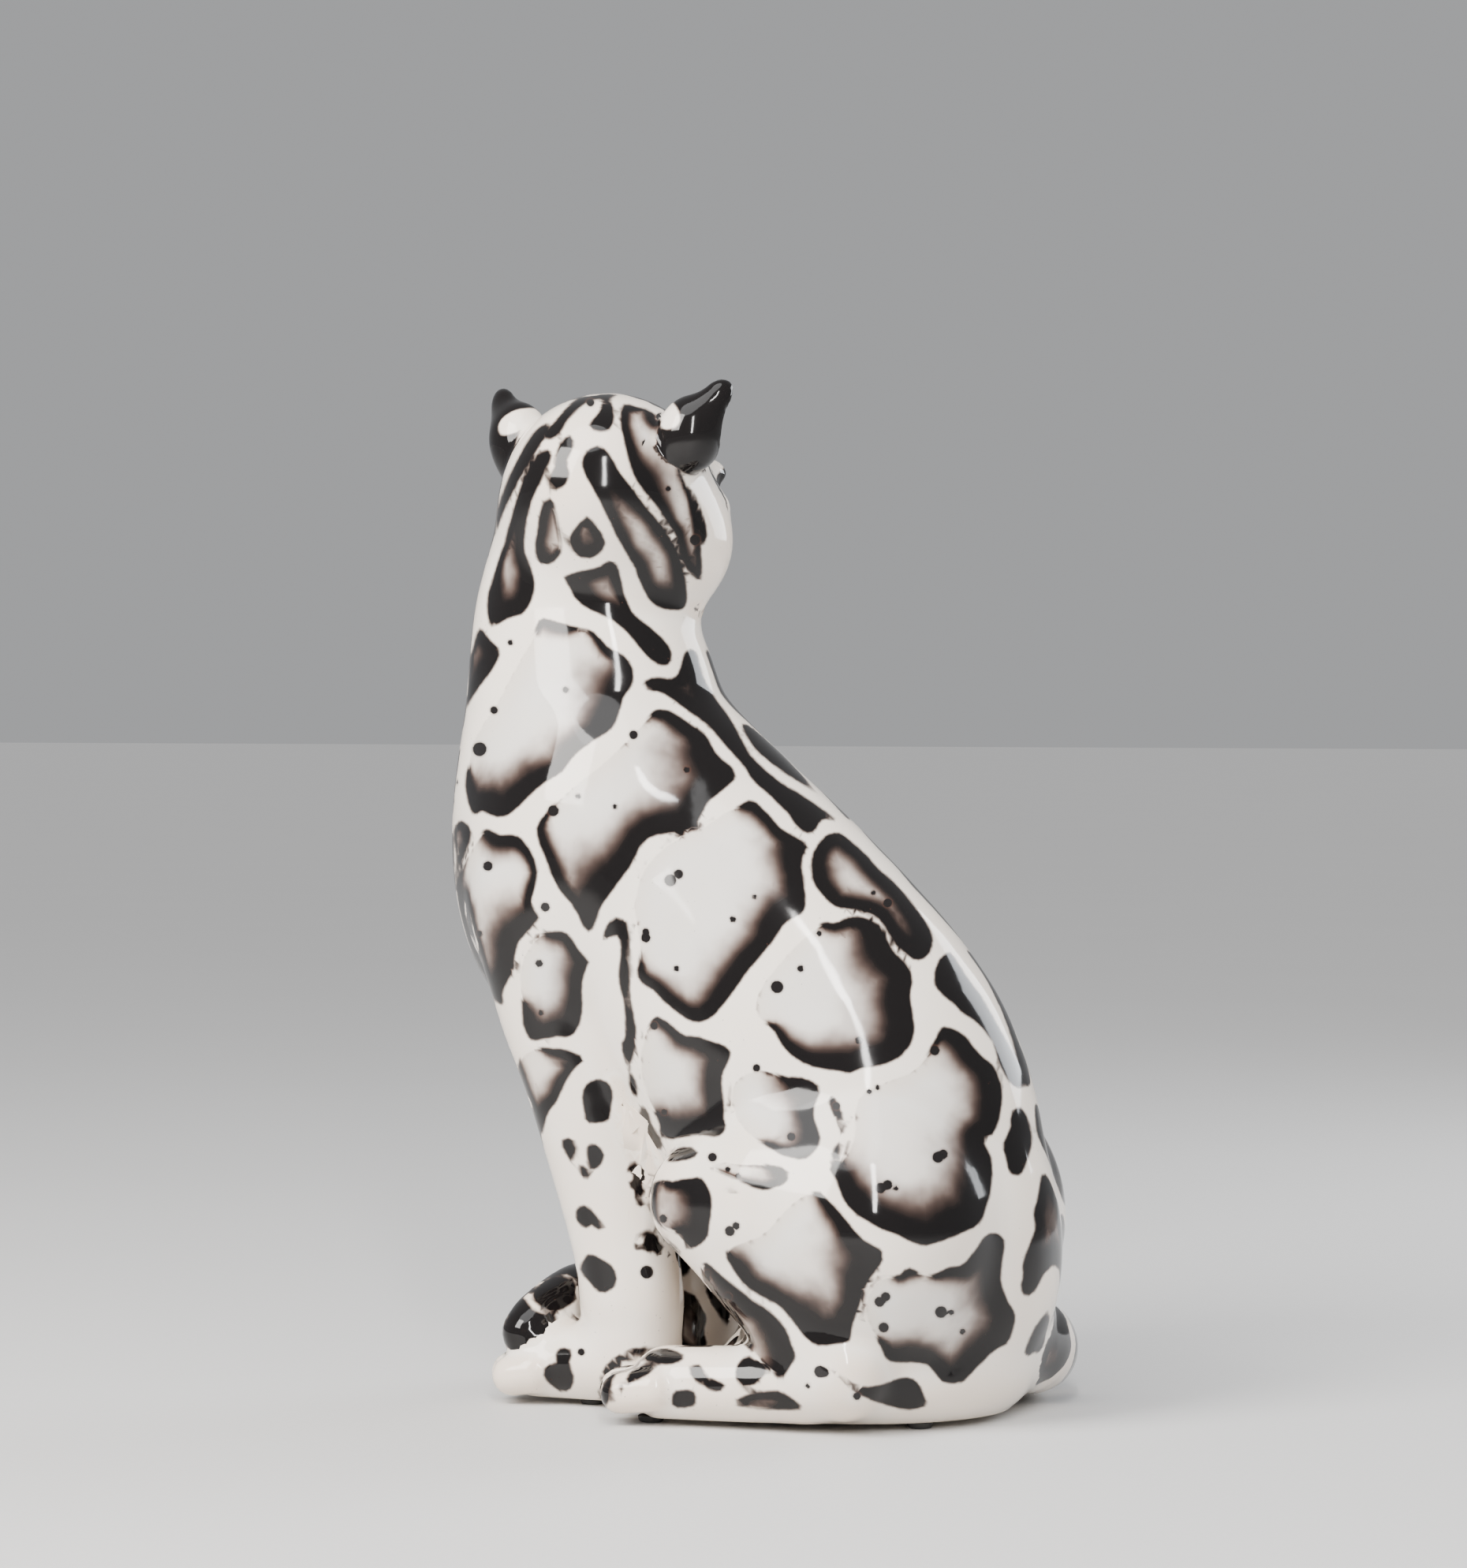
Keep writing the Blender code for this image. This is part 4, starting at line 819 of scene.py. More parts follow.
     (0, -2, 1), (-8, -1, 1)],
    [(-80, 0, 9), (-80, 10, 9), (-78, 17, 9), (-74, 22, 9), (-68, 26, 9), (-60, 28.5, 9), (-52, 29, 9),
     (-44, 27, 9), (-38, 24, 9), (-42, 20.5, 9), (-48, 20, 9), (-53, 21, 9), (-60, 22, 9), (-66, 21, 9),
     (-71, 16, 9), (-74, 9, 9), (-76, 0, 9)],
    [(-71, 1, 5), (-69, 6, 5), (-66, 10, 5), (-62, 12, 5), (-56, 15, 5), (-52, 19, 5), (-50, 21, 4),
     (-56, 20, 4), (-62, 18, 4), (-66, 14, 3), (-69, 9, 3), (-72, 4, 3)],
    [(-97, 130, 6), (-92, 130, 6), (-91, 124, 5), (-92, 119, 5), (-94, 119, 5), (-96, 123, 5),
     (-98, 127, 5)],
    [(-86, 125, 9), (-84, 128, 9), (-81, 127, 9), (-78, 124, 9), (-77, 121, 9), (-79, 117, 9),
     (-82, 115, 9), (-84, 116, 9), (-85, 120, 9)],
    [(-90, 115, 9), (-87, 117, 9), (-85, 114, 9), (-84, 111, 9), (-87, 110.5, 9), (-89, 113, 9)],
    [(-66, 114, 5), (-65, 118, 5), (-62, 119, 6), (-58, 116, 6), (-54, 112, 5), (-57, 107, 5),
     (-58, 98, 5), (-61, 97, 5), (-63, 103, 5), (-65, 108, 5)],
    [(-91, 94, 9), (-90, 97, 9), (-86, 97.5, 9), (-83, 95, 9), (-80, 91, 9), (-77, 88, 9), (-77, 86, 9),
     (-80, 85, 9), (-82, 87.5, 9), (-84, 88, 9), (-86, 86.5, 9), (-89, 88, 9), (-91, 91, 9)],
    [(-86, 73, 9), (-84, 74, 9), (-80, 72, 9), (-76, 70, 9), (-72, 66, 9), (-71, 61, 9), (-73, 57, 9),
     (-77, 55, 9), (-81, 56, 9), (-84, 60, 9), (-88, 64, 9), (-89, 68, 9), (-87, 71, 9)],
    [(-62, 83, 9), (-60, 85.5, 9), (-55, 86, 9), (-51, 84, 9), (-47, 81, 9), (-42, 77, 9), (-40, 74, 9),
     (-45, 72, 9), (-50, 72.5, 9), (-55, 74, 9), (-58, 76, 9), (-62, 76, 9), (-62.5, 79, 9)],
    [(-101, 25, 9), (-98, 28, 9), (-94, 27.5, 9), (-93, 24, 9), (-95, 20, 9), (-93, 17, 9), (-92, 13, 9),
     (-94, 8, 9), (-98, 6.5, 9), (-102, 9, 9), (-106, 13, 9), (-107, 17, 9), (-104, 20, 9), (-100, 20, 9)],
]
TAIL_BLOTCHES = [
    [(-128, 33, 9), (-126, 40, 9), (-122, 48, 9), (-119, 52, 9), (-116, 52, 9), (-113, 47, 9),
     (-109, 45, 9), (-104, 44, 9), (-99, 43, 9), (-102, 38, 9), (-106, 33, 9), (-111, 28, 9),
     (-118, 23, 9), (-126, 26, 9)],
    [(-112, 55, 9), (-109, 60, 9), (-104, 63, 9), (-98, 63, 9), (-93, 61, 9), (-88, 55, 9), (-93, 50, 9),
     (-98, 47, 9), (-103, 46, 9), (-108, 48, 9), (-111, 51, 9)],
    [(-99, 38, 9), (-95, 44, 9), (-88, 42, 9), (-90, 33, 9), (-99, 29, 9), (-107, 30, 9)],
    [(110, 13, 5), (114, 17, 6), (118, 20, 7), (124, 16, 7), (131, 16.5, 7), (134, 15, 7), (131, 9, 8),
     (122, 8, 6), (115, 6, 3), (122, 10, 2), (114, 11, 2)],
]
# Small solid dots as (across, height, radius).
HEAD_DOTS = [
    (-57, 469, 2), (-35, 452, 2.5), (-46, 447, 1.4), (-33, 422, 2.6), (-125, 408, 1.6), (-128, 399, 1.9),
    (-84, 489, 2), (-50, 482, 2),
]
BODY_DOTS = [
    (-96, 349, 1.6), (-131, 339, 2), (-138, 320, 3.5), (-150, 304, 1.5), (-123, 372, 1.5),
    (-102, 290, 2.8), (-90, 297, 1.4), (-72, 292, 1.4), (-37, 310, 1.6), (-63, 327, 2.2), (-134, 263, 2.5),
    (-45, 256, 3), (-41, 259, 2.4), (-14.5, 237, 1.7), (-4, 248, 1.3), (-42, 213, 1.6), (-57, 228, 2.4),
    (-57, 231, 1.8), (54, 250, 1.3), (61, 245, 2.2), (27.5, 230, 1.5), (18.5, 213, 1.8), (7, 204, 3.2),
    (47, 178, 2), (84, 173, 2.5), (52, 153, 1.4), (56, 155, 1.4), (36, 146, 2), (14, 131, 2.2),
    (-3, 164.5, 2), (-138, 230, 1.6), (-106, 243, 2.4), (-109, 215.5, 2), (-108, 191.5, 1.6),
    (-53, 185, 2), (-48, 143, 1.6), (-24.5, 121, 2.3), (-17, 115, 1.5), (-12, 112, 1.5), (-48.5, 91, 2.1),
    (-16, 85, 2.6), (-13, 87.5, 2), (-27, 64.5, 1.6), (-27, 61.5, 1.6), (-17, 53, 2), (57.5, 106, 2.8),
    (61, 107.5, 2.5), (65, 106, 1.4), (85.5, 121, 2.8), (88, 122.5, 2.4), (57, 50.5, 2.6), (60, 53, 2.4),
    (87, 45.5, 3), (92, 45.3, 1.5), (97.5, 36, 1.5), (59, 38, 2.6), (28, 16.5, 3), (30, 16, 2.4),
    (22, 9.5, 1.4), (46, 4.5, 2), (-56.5, 65, 3.3), (-88.5, 26, 1.9),
]
# Strokes on the face's left, in the head's frame, as (places, half width). Each has a mirror image.
FACE_STROKES = [
    ([(13.5, -60, 4), (10, -63, -2), (11, -63.5, -9), (13, -61, -15)], 1.3),
    ([(0, -80, -25), (7, -77.5, -29.5), (15, -69.5, -32.5), (22, -58, -31)], 0.9),
    ([(0, -82, -11), (0, -80, -25)], 0.8),
    ([(30, -49, 10), (35, -42, 15), (40, -31, 16), (43, -22, 12)], 2.1),
    ([(45, -21, 17), (46, -23, 5), (44, -22, -6)], 5.5),
    ([(11, -57, 21), (12, -50, 29), (13, -41, 36)], 1.9),
    ([(20, -54, 25), (23, -46, 32), (24, -36, 39)], 2.0),
    ([(29, -46, 23), (34, -37, 29), (36, -27, 34)], 1.8),
    ([(4, -50, 31), (4.5, -43, 36)], 1.7),
    ([(36, -44, -8), (42, -33, -13), (46, -20, -17)], 2.2),
    ([(33, -46, -19), (39, -36, -26), (43, -24, -31)], 2.2),
    ([(26, -50, -29), (32, -42, -37), (36, -30, -43)], 2.0),
]
# Spots on the face's left as (place, radius), each with its mirror image.
FACE_SPOTS = [
    ((0, -36, 41), 2.4), ((7, -30, 44), 2.6), ((16, -26, 45), 2.4), ((0, -24, 48), 2.8), ((9, -18, 50), 2.6),
    ((27, -20, 43), 2.6), ((44, -28, 2), 2.2), ((38, -38, 3), 1.5), ((14, -74.5, -16), 1.1),
    ((17.5, -71, -20), 1.1), ((13, -76, -21), 1.0), ((19, -67, -24), 1.1), ((15.5, -72.5, -26), 1.0),
    ((19.5, -65, -17), 1.0), ((28, -54, -14), 1.5), ((24, -56, -22), 1.3),
]
EYE_LINE = 1.6                      # width of the black line round an eye, outside its rim
EYE_CORNER = 7.0                    # how much further the line runs at the outer corner
NOSE_AT, NOSE_SIZE = (0, -79, -5.5), 8.2

TAIL_BAND = 46                      # from one black patch of the tail to the next
SEAM_HALF, SEAM_BAND = 2.6, 4.5     # half the cream line between regions, and the black beside it
OPEN_SHARE = 4.0                    # far inside a blotch, where no black reaches
NO_BLOTCH, NO_DOT = -14.0, -6.0     # depths far outside every blotch and every dot
PLAIN_EDGE = 5                      # edge width where a mark is black all over
GRAZING = 0.19                      # how squarely clay must face the outlines' viewer to take them
BROAD, FINE = 0.045, 0.13           # scales of the noise that makes free edges wander

# The outlines' viewer, in millimetres: what it looks at, how far off it stands, and that place's own
# across and height on the plane of the outlines.
VIEW_AIM = np.array((6, -12.9, 303.0))
VIEW_DISTANCE = 2400.0
VIEW_ACROSS, VIEW_HEIGHT = -14.2, 303.0


def view_axes():
    """Across, up and back of the direction that the painted outlines are drawn from."""
    azimuth = math.radians(OUTLINE_AZIMUTH)
    back = np.array(outward(OUTLINE_AZIMUTH, OUTLINE_ELEVATION))
    across = np.array((math.cos(azimuth), math.sin(azimuth), 0.0))
    return across, np.cross(back, across), back


ACROSS, UP, BACK = view_axes()


def on_plane(places):
    """Where places fall on the plane of the painted outlines."""
    from_aim = places - VIEW_AIM
    nearer = VIEW_DISTANCE / (VIEW_DISTANCE - from_aim @ BACK)
    return np.stack([VIEW_ACROSS + (from_aim @ ACROSS) * nearer, VIEW_HEIGHT + (from_aim @ UP) * nearer], 1)


def outline_depth(spots, outline):
    """Depth of plane points inside a closed outline, negative outside, then their depth as a share of the
    black edge's width, and that width where the outline is nearest."""
    steps = 3
    closed = [outline[-1], *outline, outline[0], outline[1]]
    ring = curve_through(closed, steps)[steps:-steps]
    low, high = ring[:, :2].min(0) + NO_BLOTCH, ring[:, :2].max(0) - NO_BLOTCH
    near = np.flatnonzero(((spots > low) & (spots < high)).all(1))
    depth = np.full(len(spots), NO_BLOTCH)
    share, edge = np.full(len(spots), OPEN_SHARE), np.zeros(len(spots))
    if not len(near):
        return depth, share, edge
    a, b = ring[:-1], ring[1:]
    along = b[:, :2] - a[:, :2]
    rise = np.where(along[:, 1] == 0, 1e-9, along[:, 1])
    for part in np.array_split(near, max(1, len(near) // 4000)):
        p = spots[part][:, None, :]
        t = np.clip(((p - a[None, :, :2]) * along).sum(2) / np.maximum((along ** 2).sum(1), 1e-9), 0, 1)
        gap = np.linalg.norm(p - (a[None, :, :2] + along * t[:, :, None]), axis=2)
        best = gap.argmin(1)
        rows = np.arange(len(part))
        level = (a[None, :, 1] > p[:, :, 1]) != (b[None, :, 1] > p[:, :, 1])
        crossing = a[:, 0] + (p[:, :, 1] - a[:, 1]) * along[:, 0] / rise
        inside = (level & (p[:, :, 0] < crossing)).sum(1) % 2 == 1
        depth[part] = np.where(inside, gap[rows, best], -gap[rows, best])
        widths = np.maximum(a[None, :, 2] + (b[:, 2] - a[:, 2]) * t, 0.25)
        share[part] = np.minimum((gap / widths).min(1), OPEN_SHARE)
        edge[part] = widths[rows, best]
    return depth, share, edge


def painted(spots, outlines):
    """The deepest of several outlines at each plane point."""
    found = np.full(len(spots), NO_BLOTCH), np.full(len(spots), OPEN_SHARE), np.zeros(len(spots))
    for outline in outlines:
        values = outline_depth(spots, outline)
        better = values[0] > found[0]
        for kept, value in zip(found, values):
            kept[better] = value[better]
    return found


def dotted(spots, dots):
    """Depth of plane points inside the nearest of several round dots."""
    depth = np.full(len(spots), NO_DOT)
    for across, height, radius in dots:
        depth = np.maximum(depth, radius - np.hypot(spots[:, 0] - across, spots[:, 1] - height))
    return depth


def mirrored_body(places):
    return places * np.array((-1, 1, 1))


def mirrored_head(places, turn_only=False):
    """The same place on the head's other side."""
    centre = 0 if turn_only else HEAD_CENTRE
    return ((places - centre) @ HEAD_AXES * np.array((-1, 1, 1))) @ HEAD_AXES.T + centre


def near_dots(centres):
    """Faces under a small painted dot, on either side."""
    chosen = np.zeros(len(centres), bool)
    for mirror, dots in ((mirrored_body, BODY_DOTS), (mirrored_head, HEAD_DOTS)):
        for places in (centres, mirror(centres)):
            chosen |= dotted(on_plane(places), dots) > -2.2
    return chosen


def sheltered(tree, places, normals):
    """Which places something hides from the side that the outlines are drawn from."""
    start = VIEW_AIM + BACK * VIEW_DISTANCE
    hidden = np.zeros(len(places), bool)
    lift, reach = 1.5, 400
    for i, (place, normal) in enumerate(zip(places, normals)):
        origin = Vector(place + normal * lift)
        towards = Vector(start) - origin
        hidden[i] = tree.ray_cast(origin, towards.normalized(), reach)[0] is not None
    return hidden


def free_cells(places, seeds_from, spacing, channel, seed):
    """Blotches where no outline is drawn: cells round scattered seeds, with a cream channel between."""
    tries, leg_height, outer_side, leg_share = 6000, 120, 95, 0.72
    rng = np.random.default_rng(seed)
    order = rng.permutation(len(seeds_from))[:tries]
    seeds = []
    for i in order:
        p = seeds_from[i]
        room = spacing * (leg_share if p[2] < leg_height or abs(p[0]) > outer_side else 1.0)
        if all(np.abs(p - q).max() > room or np.linalg.norm(p - q) > room for q in seeds):
            seeds.append(p)
    seeds = np.array(seeds)
    tree = KDTree(len(seeds))
    for i, p in enumerate(seeds):
        tree.insert(p, i)
    tree.balance()
    edge = rng.uniform(2.5, 7.5, len(seeds))
    shrink = rng.uniform(-0.6, 1.6, len(seeds))
    depth = np.empty(len(places))
    width = np.empty(len(places))
    for i, p in enumerate(places):
        warp = noise.noise_vector(Vector(p) * BROAD) * 7 + noise.noise_vector(Vector(p) * FINE) * 2.2
        found = tree.find_n(Vector(p) + warp, 3)
        d1, d2, d3 = (f[2] for f in found)
        one, two, three = (f[1] for f in found)
        to_two = (d2 * d2 - d1 * d1) / (2 * np.linalg.norm(seeds[one] - seeds[two]))
        to_three = (d3 * d3 - d1 * d1) / (2 * np.linalg.norm(seeds[one] - seeds[three]))
        d = float(blend_in(np.array(to_two), np.array(to_three), 5.0))
        depth[i] = d - channel / 2 - shrink[one]
        width[i] = edge[one] * (1 + 0.7 * noise.noise(Vector(p) * 0.05))
    return depth, np.minimum(np.maximum(depth, 0) / width, OPEN_SHARE), width


class LAMP_OT_coat(Operator):
    """Paints the leopard's coat on the figure as attributes that its glaze reads"""
    bl_idname = "leopard_lamp.coat"
    bl_label = "Painted coat"

    def execute(self, context):
        settings = context.scene.lamp_coat
        figure = bpy.data.objects["glazed_figure"]
        mesh = figure.data
        places = vertex_array(mesh)
        normals = vertex_array(mesh, "normal")
        masses = clay_masses()
        labels = np.zeros(len(places), int)
        outside = clay_depth(places, masses, labels)
        kinds = np.array([GROUPS.get(mass["name"], "head" if is_head(mass) else "body") for mass in masses])
        groups = kinds[labels]
        on_head = np.isin(groups, ("head", "ear"))
        tree = BVHTree.FromPolygons([Vector(p) for p in places], [tuple(p.vertices) for p in mesh.polygons])

        facing = normals @ BACK
        other = np.where(on_head[:, None], mirrored_head(places), mirrored_body(places))
        other_normals = np.where(on_head[:, None], mirrored_head(normals, True), mirrored_body(normals))
        other_facing = other_normals @ BACK
        wave = np.array([noise.noise(Vector(p) * 0.05) for p in places])
        own = (facing > GRAZING + 0.1 * wave) & ((places[:, 0] > 0) | on_head)
        spare = (other_facing > GRAZING + 0.1 * wave) & ~own & (groups != "tail")
        hidden = np.zeros(len(places), bool)
        hidden[own] = sheltered(tree, places[own], normals[own])
        own &= ~hidden
        hidden[spare] = sheltered(tree, other[spare], other_normals[spare])
        spare &= ~hidden
        edges = edge_array(mesh)
        own = evened(own, edges)
        spare = evened(spare, edges) & ~own

        depth = np.full(len(places), NO_BLOTCH)
        share, edge = np.full(len(places), OPEN_SHARE), np.zeros(len(places))
        dots = np.full(len(places), NO_DOT)
        region = np.zeros(len(places), int)
        skin_blotches = HEAD_BLOTCHES + BODY_BLOTCHES
        for mine, seen in ((own, places), (spare, other)):
            for chosen, outlines, spots in ((mine & on_head, skin_blotches, HEAD_DOTS),
                                            (mine & ~on_head & (groups != "tail"), skin_blotches, BODY_DOTS),
                                            (mine & (groups == "tail"), TAIL_BLOTCHES, [])):
                plane = on_plane(seen[chosen])
                depth[chosen], share[chosen], edge[chosen] = painted(plane, outlines)
                dots[chosen] = dotted(plane, spots)
                region[chosen] = 1

        free = ~(own | spare)
        loose = free.astype(float)
        seeds_from = places[free & (outside > -2)]
        depth[free], share[free], edge[free] = free_cells(places[free], seeds_from, settings.cell_size,
                                                          settings.channel, settings.seed)
        paint_tail(places, groups, own, depth, share, edge)
        part_regions(places, region, outside > -3, depth, share, edge)
        paint_ears(places, normals, groups, depth, share, edge, dots)
        paint_face(places, depth, share, edge, dots, loose, groups, own | spare)

        for values in (depth, share, edge):
            values[:] = 0.75 * values + 0.25 * averaged(values, edges)
        # The skin's curvature: on ridges the glaze turns thin and warm, and in hollows it takes painted shade
        curve = ((averaged(places, edges) - places) * normals).sum(1)
        for _ in range(4):
            curve = averaged(curve, edges)
        write_attribute(mesh, "coat_depth", depth)
        write_attribute(mesh, "coat_share", share)
        write_attribute(mesh, "coat_edge", edge)
        write_attribute(mesh, "dot_depth", dots)
        write_attribute(mesh, "loose_dots", loose)
        write_attribute(mesh, "ridge", np.clip(-curve * 6, -1, 1))
        slack = 0.6 + 2.6 * in_face(places)
        write_attribute(mesh, "bare", np.clip((np.abs(outside) - slack) / 1.2, 0, 1))
        write_attribute(mesh, "muzzle", nose_tint(places))
        return {"FINISHED"}


def evened(chosen, edges, rounds=8):
    """A selection without specks and with a smooth border."""
    weight = chosen.astype(float)[:, None]
    for _ in range(rounds):
        weight = averaged(weight, edges)
    return weight[:, 0] > 0.5


def is_head(mass):
    return any(mass["name"] in table for table in (HEAD_LUMPS, HEAD_PAIRED_LUMPS, HEAD_LIMBS))


def write_attribute(mesh, name, values):
    layer = mesh.attributes.new(name, "FLOAT", "POINT")
    layer.data.foreach_set("value", np.ascontiguousarray(values, dtype=np.float32))


def part_regions(places, region, skin, depth, share, edge):
    """Leaves a cream line where drawn blotches meet free ones, and closes their black edges along it."""
    for kind in (0, 1):
        here = np.flatnonzero(skin & (region == kind))
        there = np.flatnonzero(skin & (region != kind))
        tree = KDTree(len(there))
        for i in there:
            tree.insert(places[i], int(i))
        tree.balance()
        for i in here:
            inward = tree.find(places[i])[2] - SEAM_HALF
            if inward < 3 * SEAM_BAND:
                depth[i] = min(depth[i], inward)
                share[i] = min(share[i], max(inward, 0) / SEAM_BAND)
                edge[i] = max(edge[i], SEAM_BAND * min(1, max(0, 2 - inward / SEAM_BAND)))


def paint_tail(places, groups, own, depth, share, edge):
    """Broad black patches along the tail, closer towards its tip."""
    chosen = np.flatnonzero((groups == "tail") & ~own)
    line = curve_through(TAIL[0], 8)[:, :3]
    steps = np.linalg.norm(np.diff(line, axis=0), axis=1)
    along = np.concatenate([[0], np.cumsum(steps)])
    for i in chosen:
        p = places[i]
        nearest = np.linalg.norm(line - p, axis=1).argmin()
        if nearest in (0, len(line) - 1):
            t = along[nearest]
        else:
            ahead = line[nearest + 1] - line[nearest - 1]
            t = along[nearest] + (p - line[nearest]) @ (ahead / np.linalg.norm(ahead))
        wobble = 9 * noise.noise(Vector(p) * BROAD) + 3 * noise.noise(Vector(p) * FINE)
        phase = (t + wobble) / TAIL_BAND
        band = 0.5 - abs(phase - math.floor(phase) - 0.5)
        above = (p[2] - line[nearest][2]) / 16
        reach = 0.36 + 0.10 * noise.noise(Vector((math.floor(phase) * 3.7, 0.3, 0.1))) + 0.05 * above
        depth[i] = (band - (0.5 - reach)) * TAIL_BAND
        share[i] = 0 if t > 0.8 * along[-1] else max(depth[i], 0) / 9
        edge[i] = 6


def paint_ears(places, normals, groups, depth, share, edge, dots):
    """Black backs with a pale spot, and a dark edge round the pale hollow."""
    local = folded_head(places)
    turned = normals @ HEAD_AXES
    hollows = [mass for mass in clay_masses() if mass["name"] in HEAD_HOLLOWS]
    beside = np.min([lump_distance(places, mass) for mass in hollows], axis=0) - 1.2
    for i in np.flatnonzero(np.isin(groups, ("ear", "head"))):
        x, _, z = local[i]
        root = min((z - 17) * 0.5 + (x - 48) * 0.55, (x - 42) * 0.8)
        if root < -3 or x < 36 or z < 8:
            continue
        if turned[i, 1] > -0.25:
            spot = 7.5 - math.hypot((x - 45 + (z - 41) * 0.5) / 1.15, (z - 41) / 0.95)
            depth[i] = max(min(5.0, root, -spot), min(depth[i], -root))
            share[i] = 0 if root > 0 else share[i]
        else:
            depth[i] = min(root, beside[i])
            share[i] = 0
        edge[i] = PLAIN_EDGE
        dots[i] = NO_DOT


def on_skin(tree, path):
    """A stroke's places, brought to the nearest places on the face."""
    path = [tree.find(Vector(p))[0][:] for p in path]
    return curve_through([(*p, 0) for p in path], 4)[:, :3] if len(path) > 1 else path


def paint_face(places, depth, share, edge, dots, loose, groups, drawn_outlines):
    """Strokes and spots on the face, mirrored about the head's middle."""
    local = to_head(places)
    right_side = np.flatnonzero((local[:, 0] > -2) & (local[:, 1] < 5) & (groups != "tail"))
    tree = KDTree(len(right_side))
    for i in right_side:
        tree.insert(local[i], int(i))
    tree.balance()
    local[:, 0] = np.abs(local[:, 0])
    front = np.flatnonzero((local[:, 1] < -8) & (groups == "head") & ~drawn_outlines)
    p = local[front]
    marks = np.full(len(p), NO_BLOTCH)
    for path, half in FACE_STROKES:
        marks = np.maximum(marks, half - path_distance(p, on_skin(tree, path)))
    for at, radius in FACE_SPOTS:
        marks = np.maximum(marks, radius - np.linalg.norm(p - np.array(on_skin(tree, [at])[0]), axis=1))
    to_face = np.clip((-8 - local[front, 1]) / 14, 0, 1)
    loose[front] = 0
    beside = np.maximum(marks, np.minimum(depth[front], 4 - 40 * to_face))
    depth[front] = np.where(to_face > 0.4, marks, beside)
    share[front] = np.where(marks >= depth[front], 0, share[front])
    edge[front] = PLAIN_EDGE
    dots[front] = NO_DOT
    near = np.flatnonzero(np.linalg.norm(local - EYE_AT, axis=1) < 30)
    q, look = local[near] - EYE_AT, gaze_direction(1)
    height = q @ look
    flat = q - height[:, None] * look
    out = np.linalg.norm(flat, axis=1)
    sideways = np.array((-look[1], look[0], 0)) / math.hypot(look[0], look[1])
    corner = np.clip(flat @ sideways / np.maximum(out, 0.1), 0, 1) ** 3
    tear = np.clip(-flat @ sideways / np.maximum(out, 0.1), 0, 1) ** 4 * np.clip(-flat[:, 2] / 6, 0, 1)
    rim = EYE_RADIUS + 2.2 + EYE_LINE + EYE_CORNER * corner + 2.0 * tear
    line = np.where(np.abs(height) < 16, np.minimum(rim - out, 8.0), -6)
    depth[near] = np.maximum(depth[near], line)
    share[near] = np.where(line >= depth[near], 0, share[near])
    edge[near] = PLAIN_EDGE


def nose_tint(places):
    """A rounded triangle, widest at its top."""
    q = to_head(places) - np.array(NOSE_AT)
    wide = 1.2 - 0.07 * np.clip(-q[:, 2], 0, 9)
    away = np.linalg.norm(q / np.stack([wide, np.full(len(q), 0.9), np.full(len(q), 0.8)], 1), axis=1)
    return np.clip((NOSE_SIZE - away) / 1.2, 0, 1)


# ---- finishes --------------------------------------------------------------------------------------
def toned(colour, *shares):
    """A colour times one share, or times one each for red, green and blue."""
    return tuple(min(1, c * share) for c, share in zip(colour, shares * 3 if len(shares) == 1 else shares))


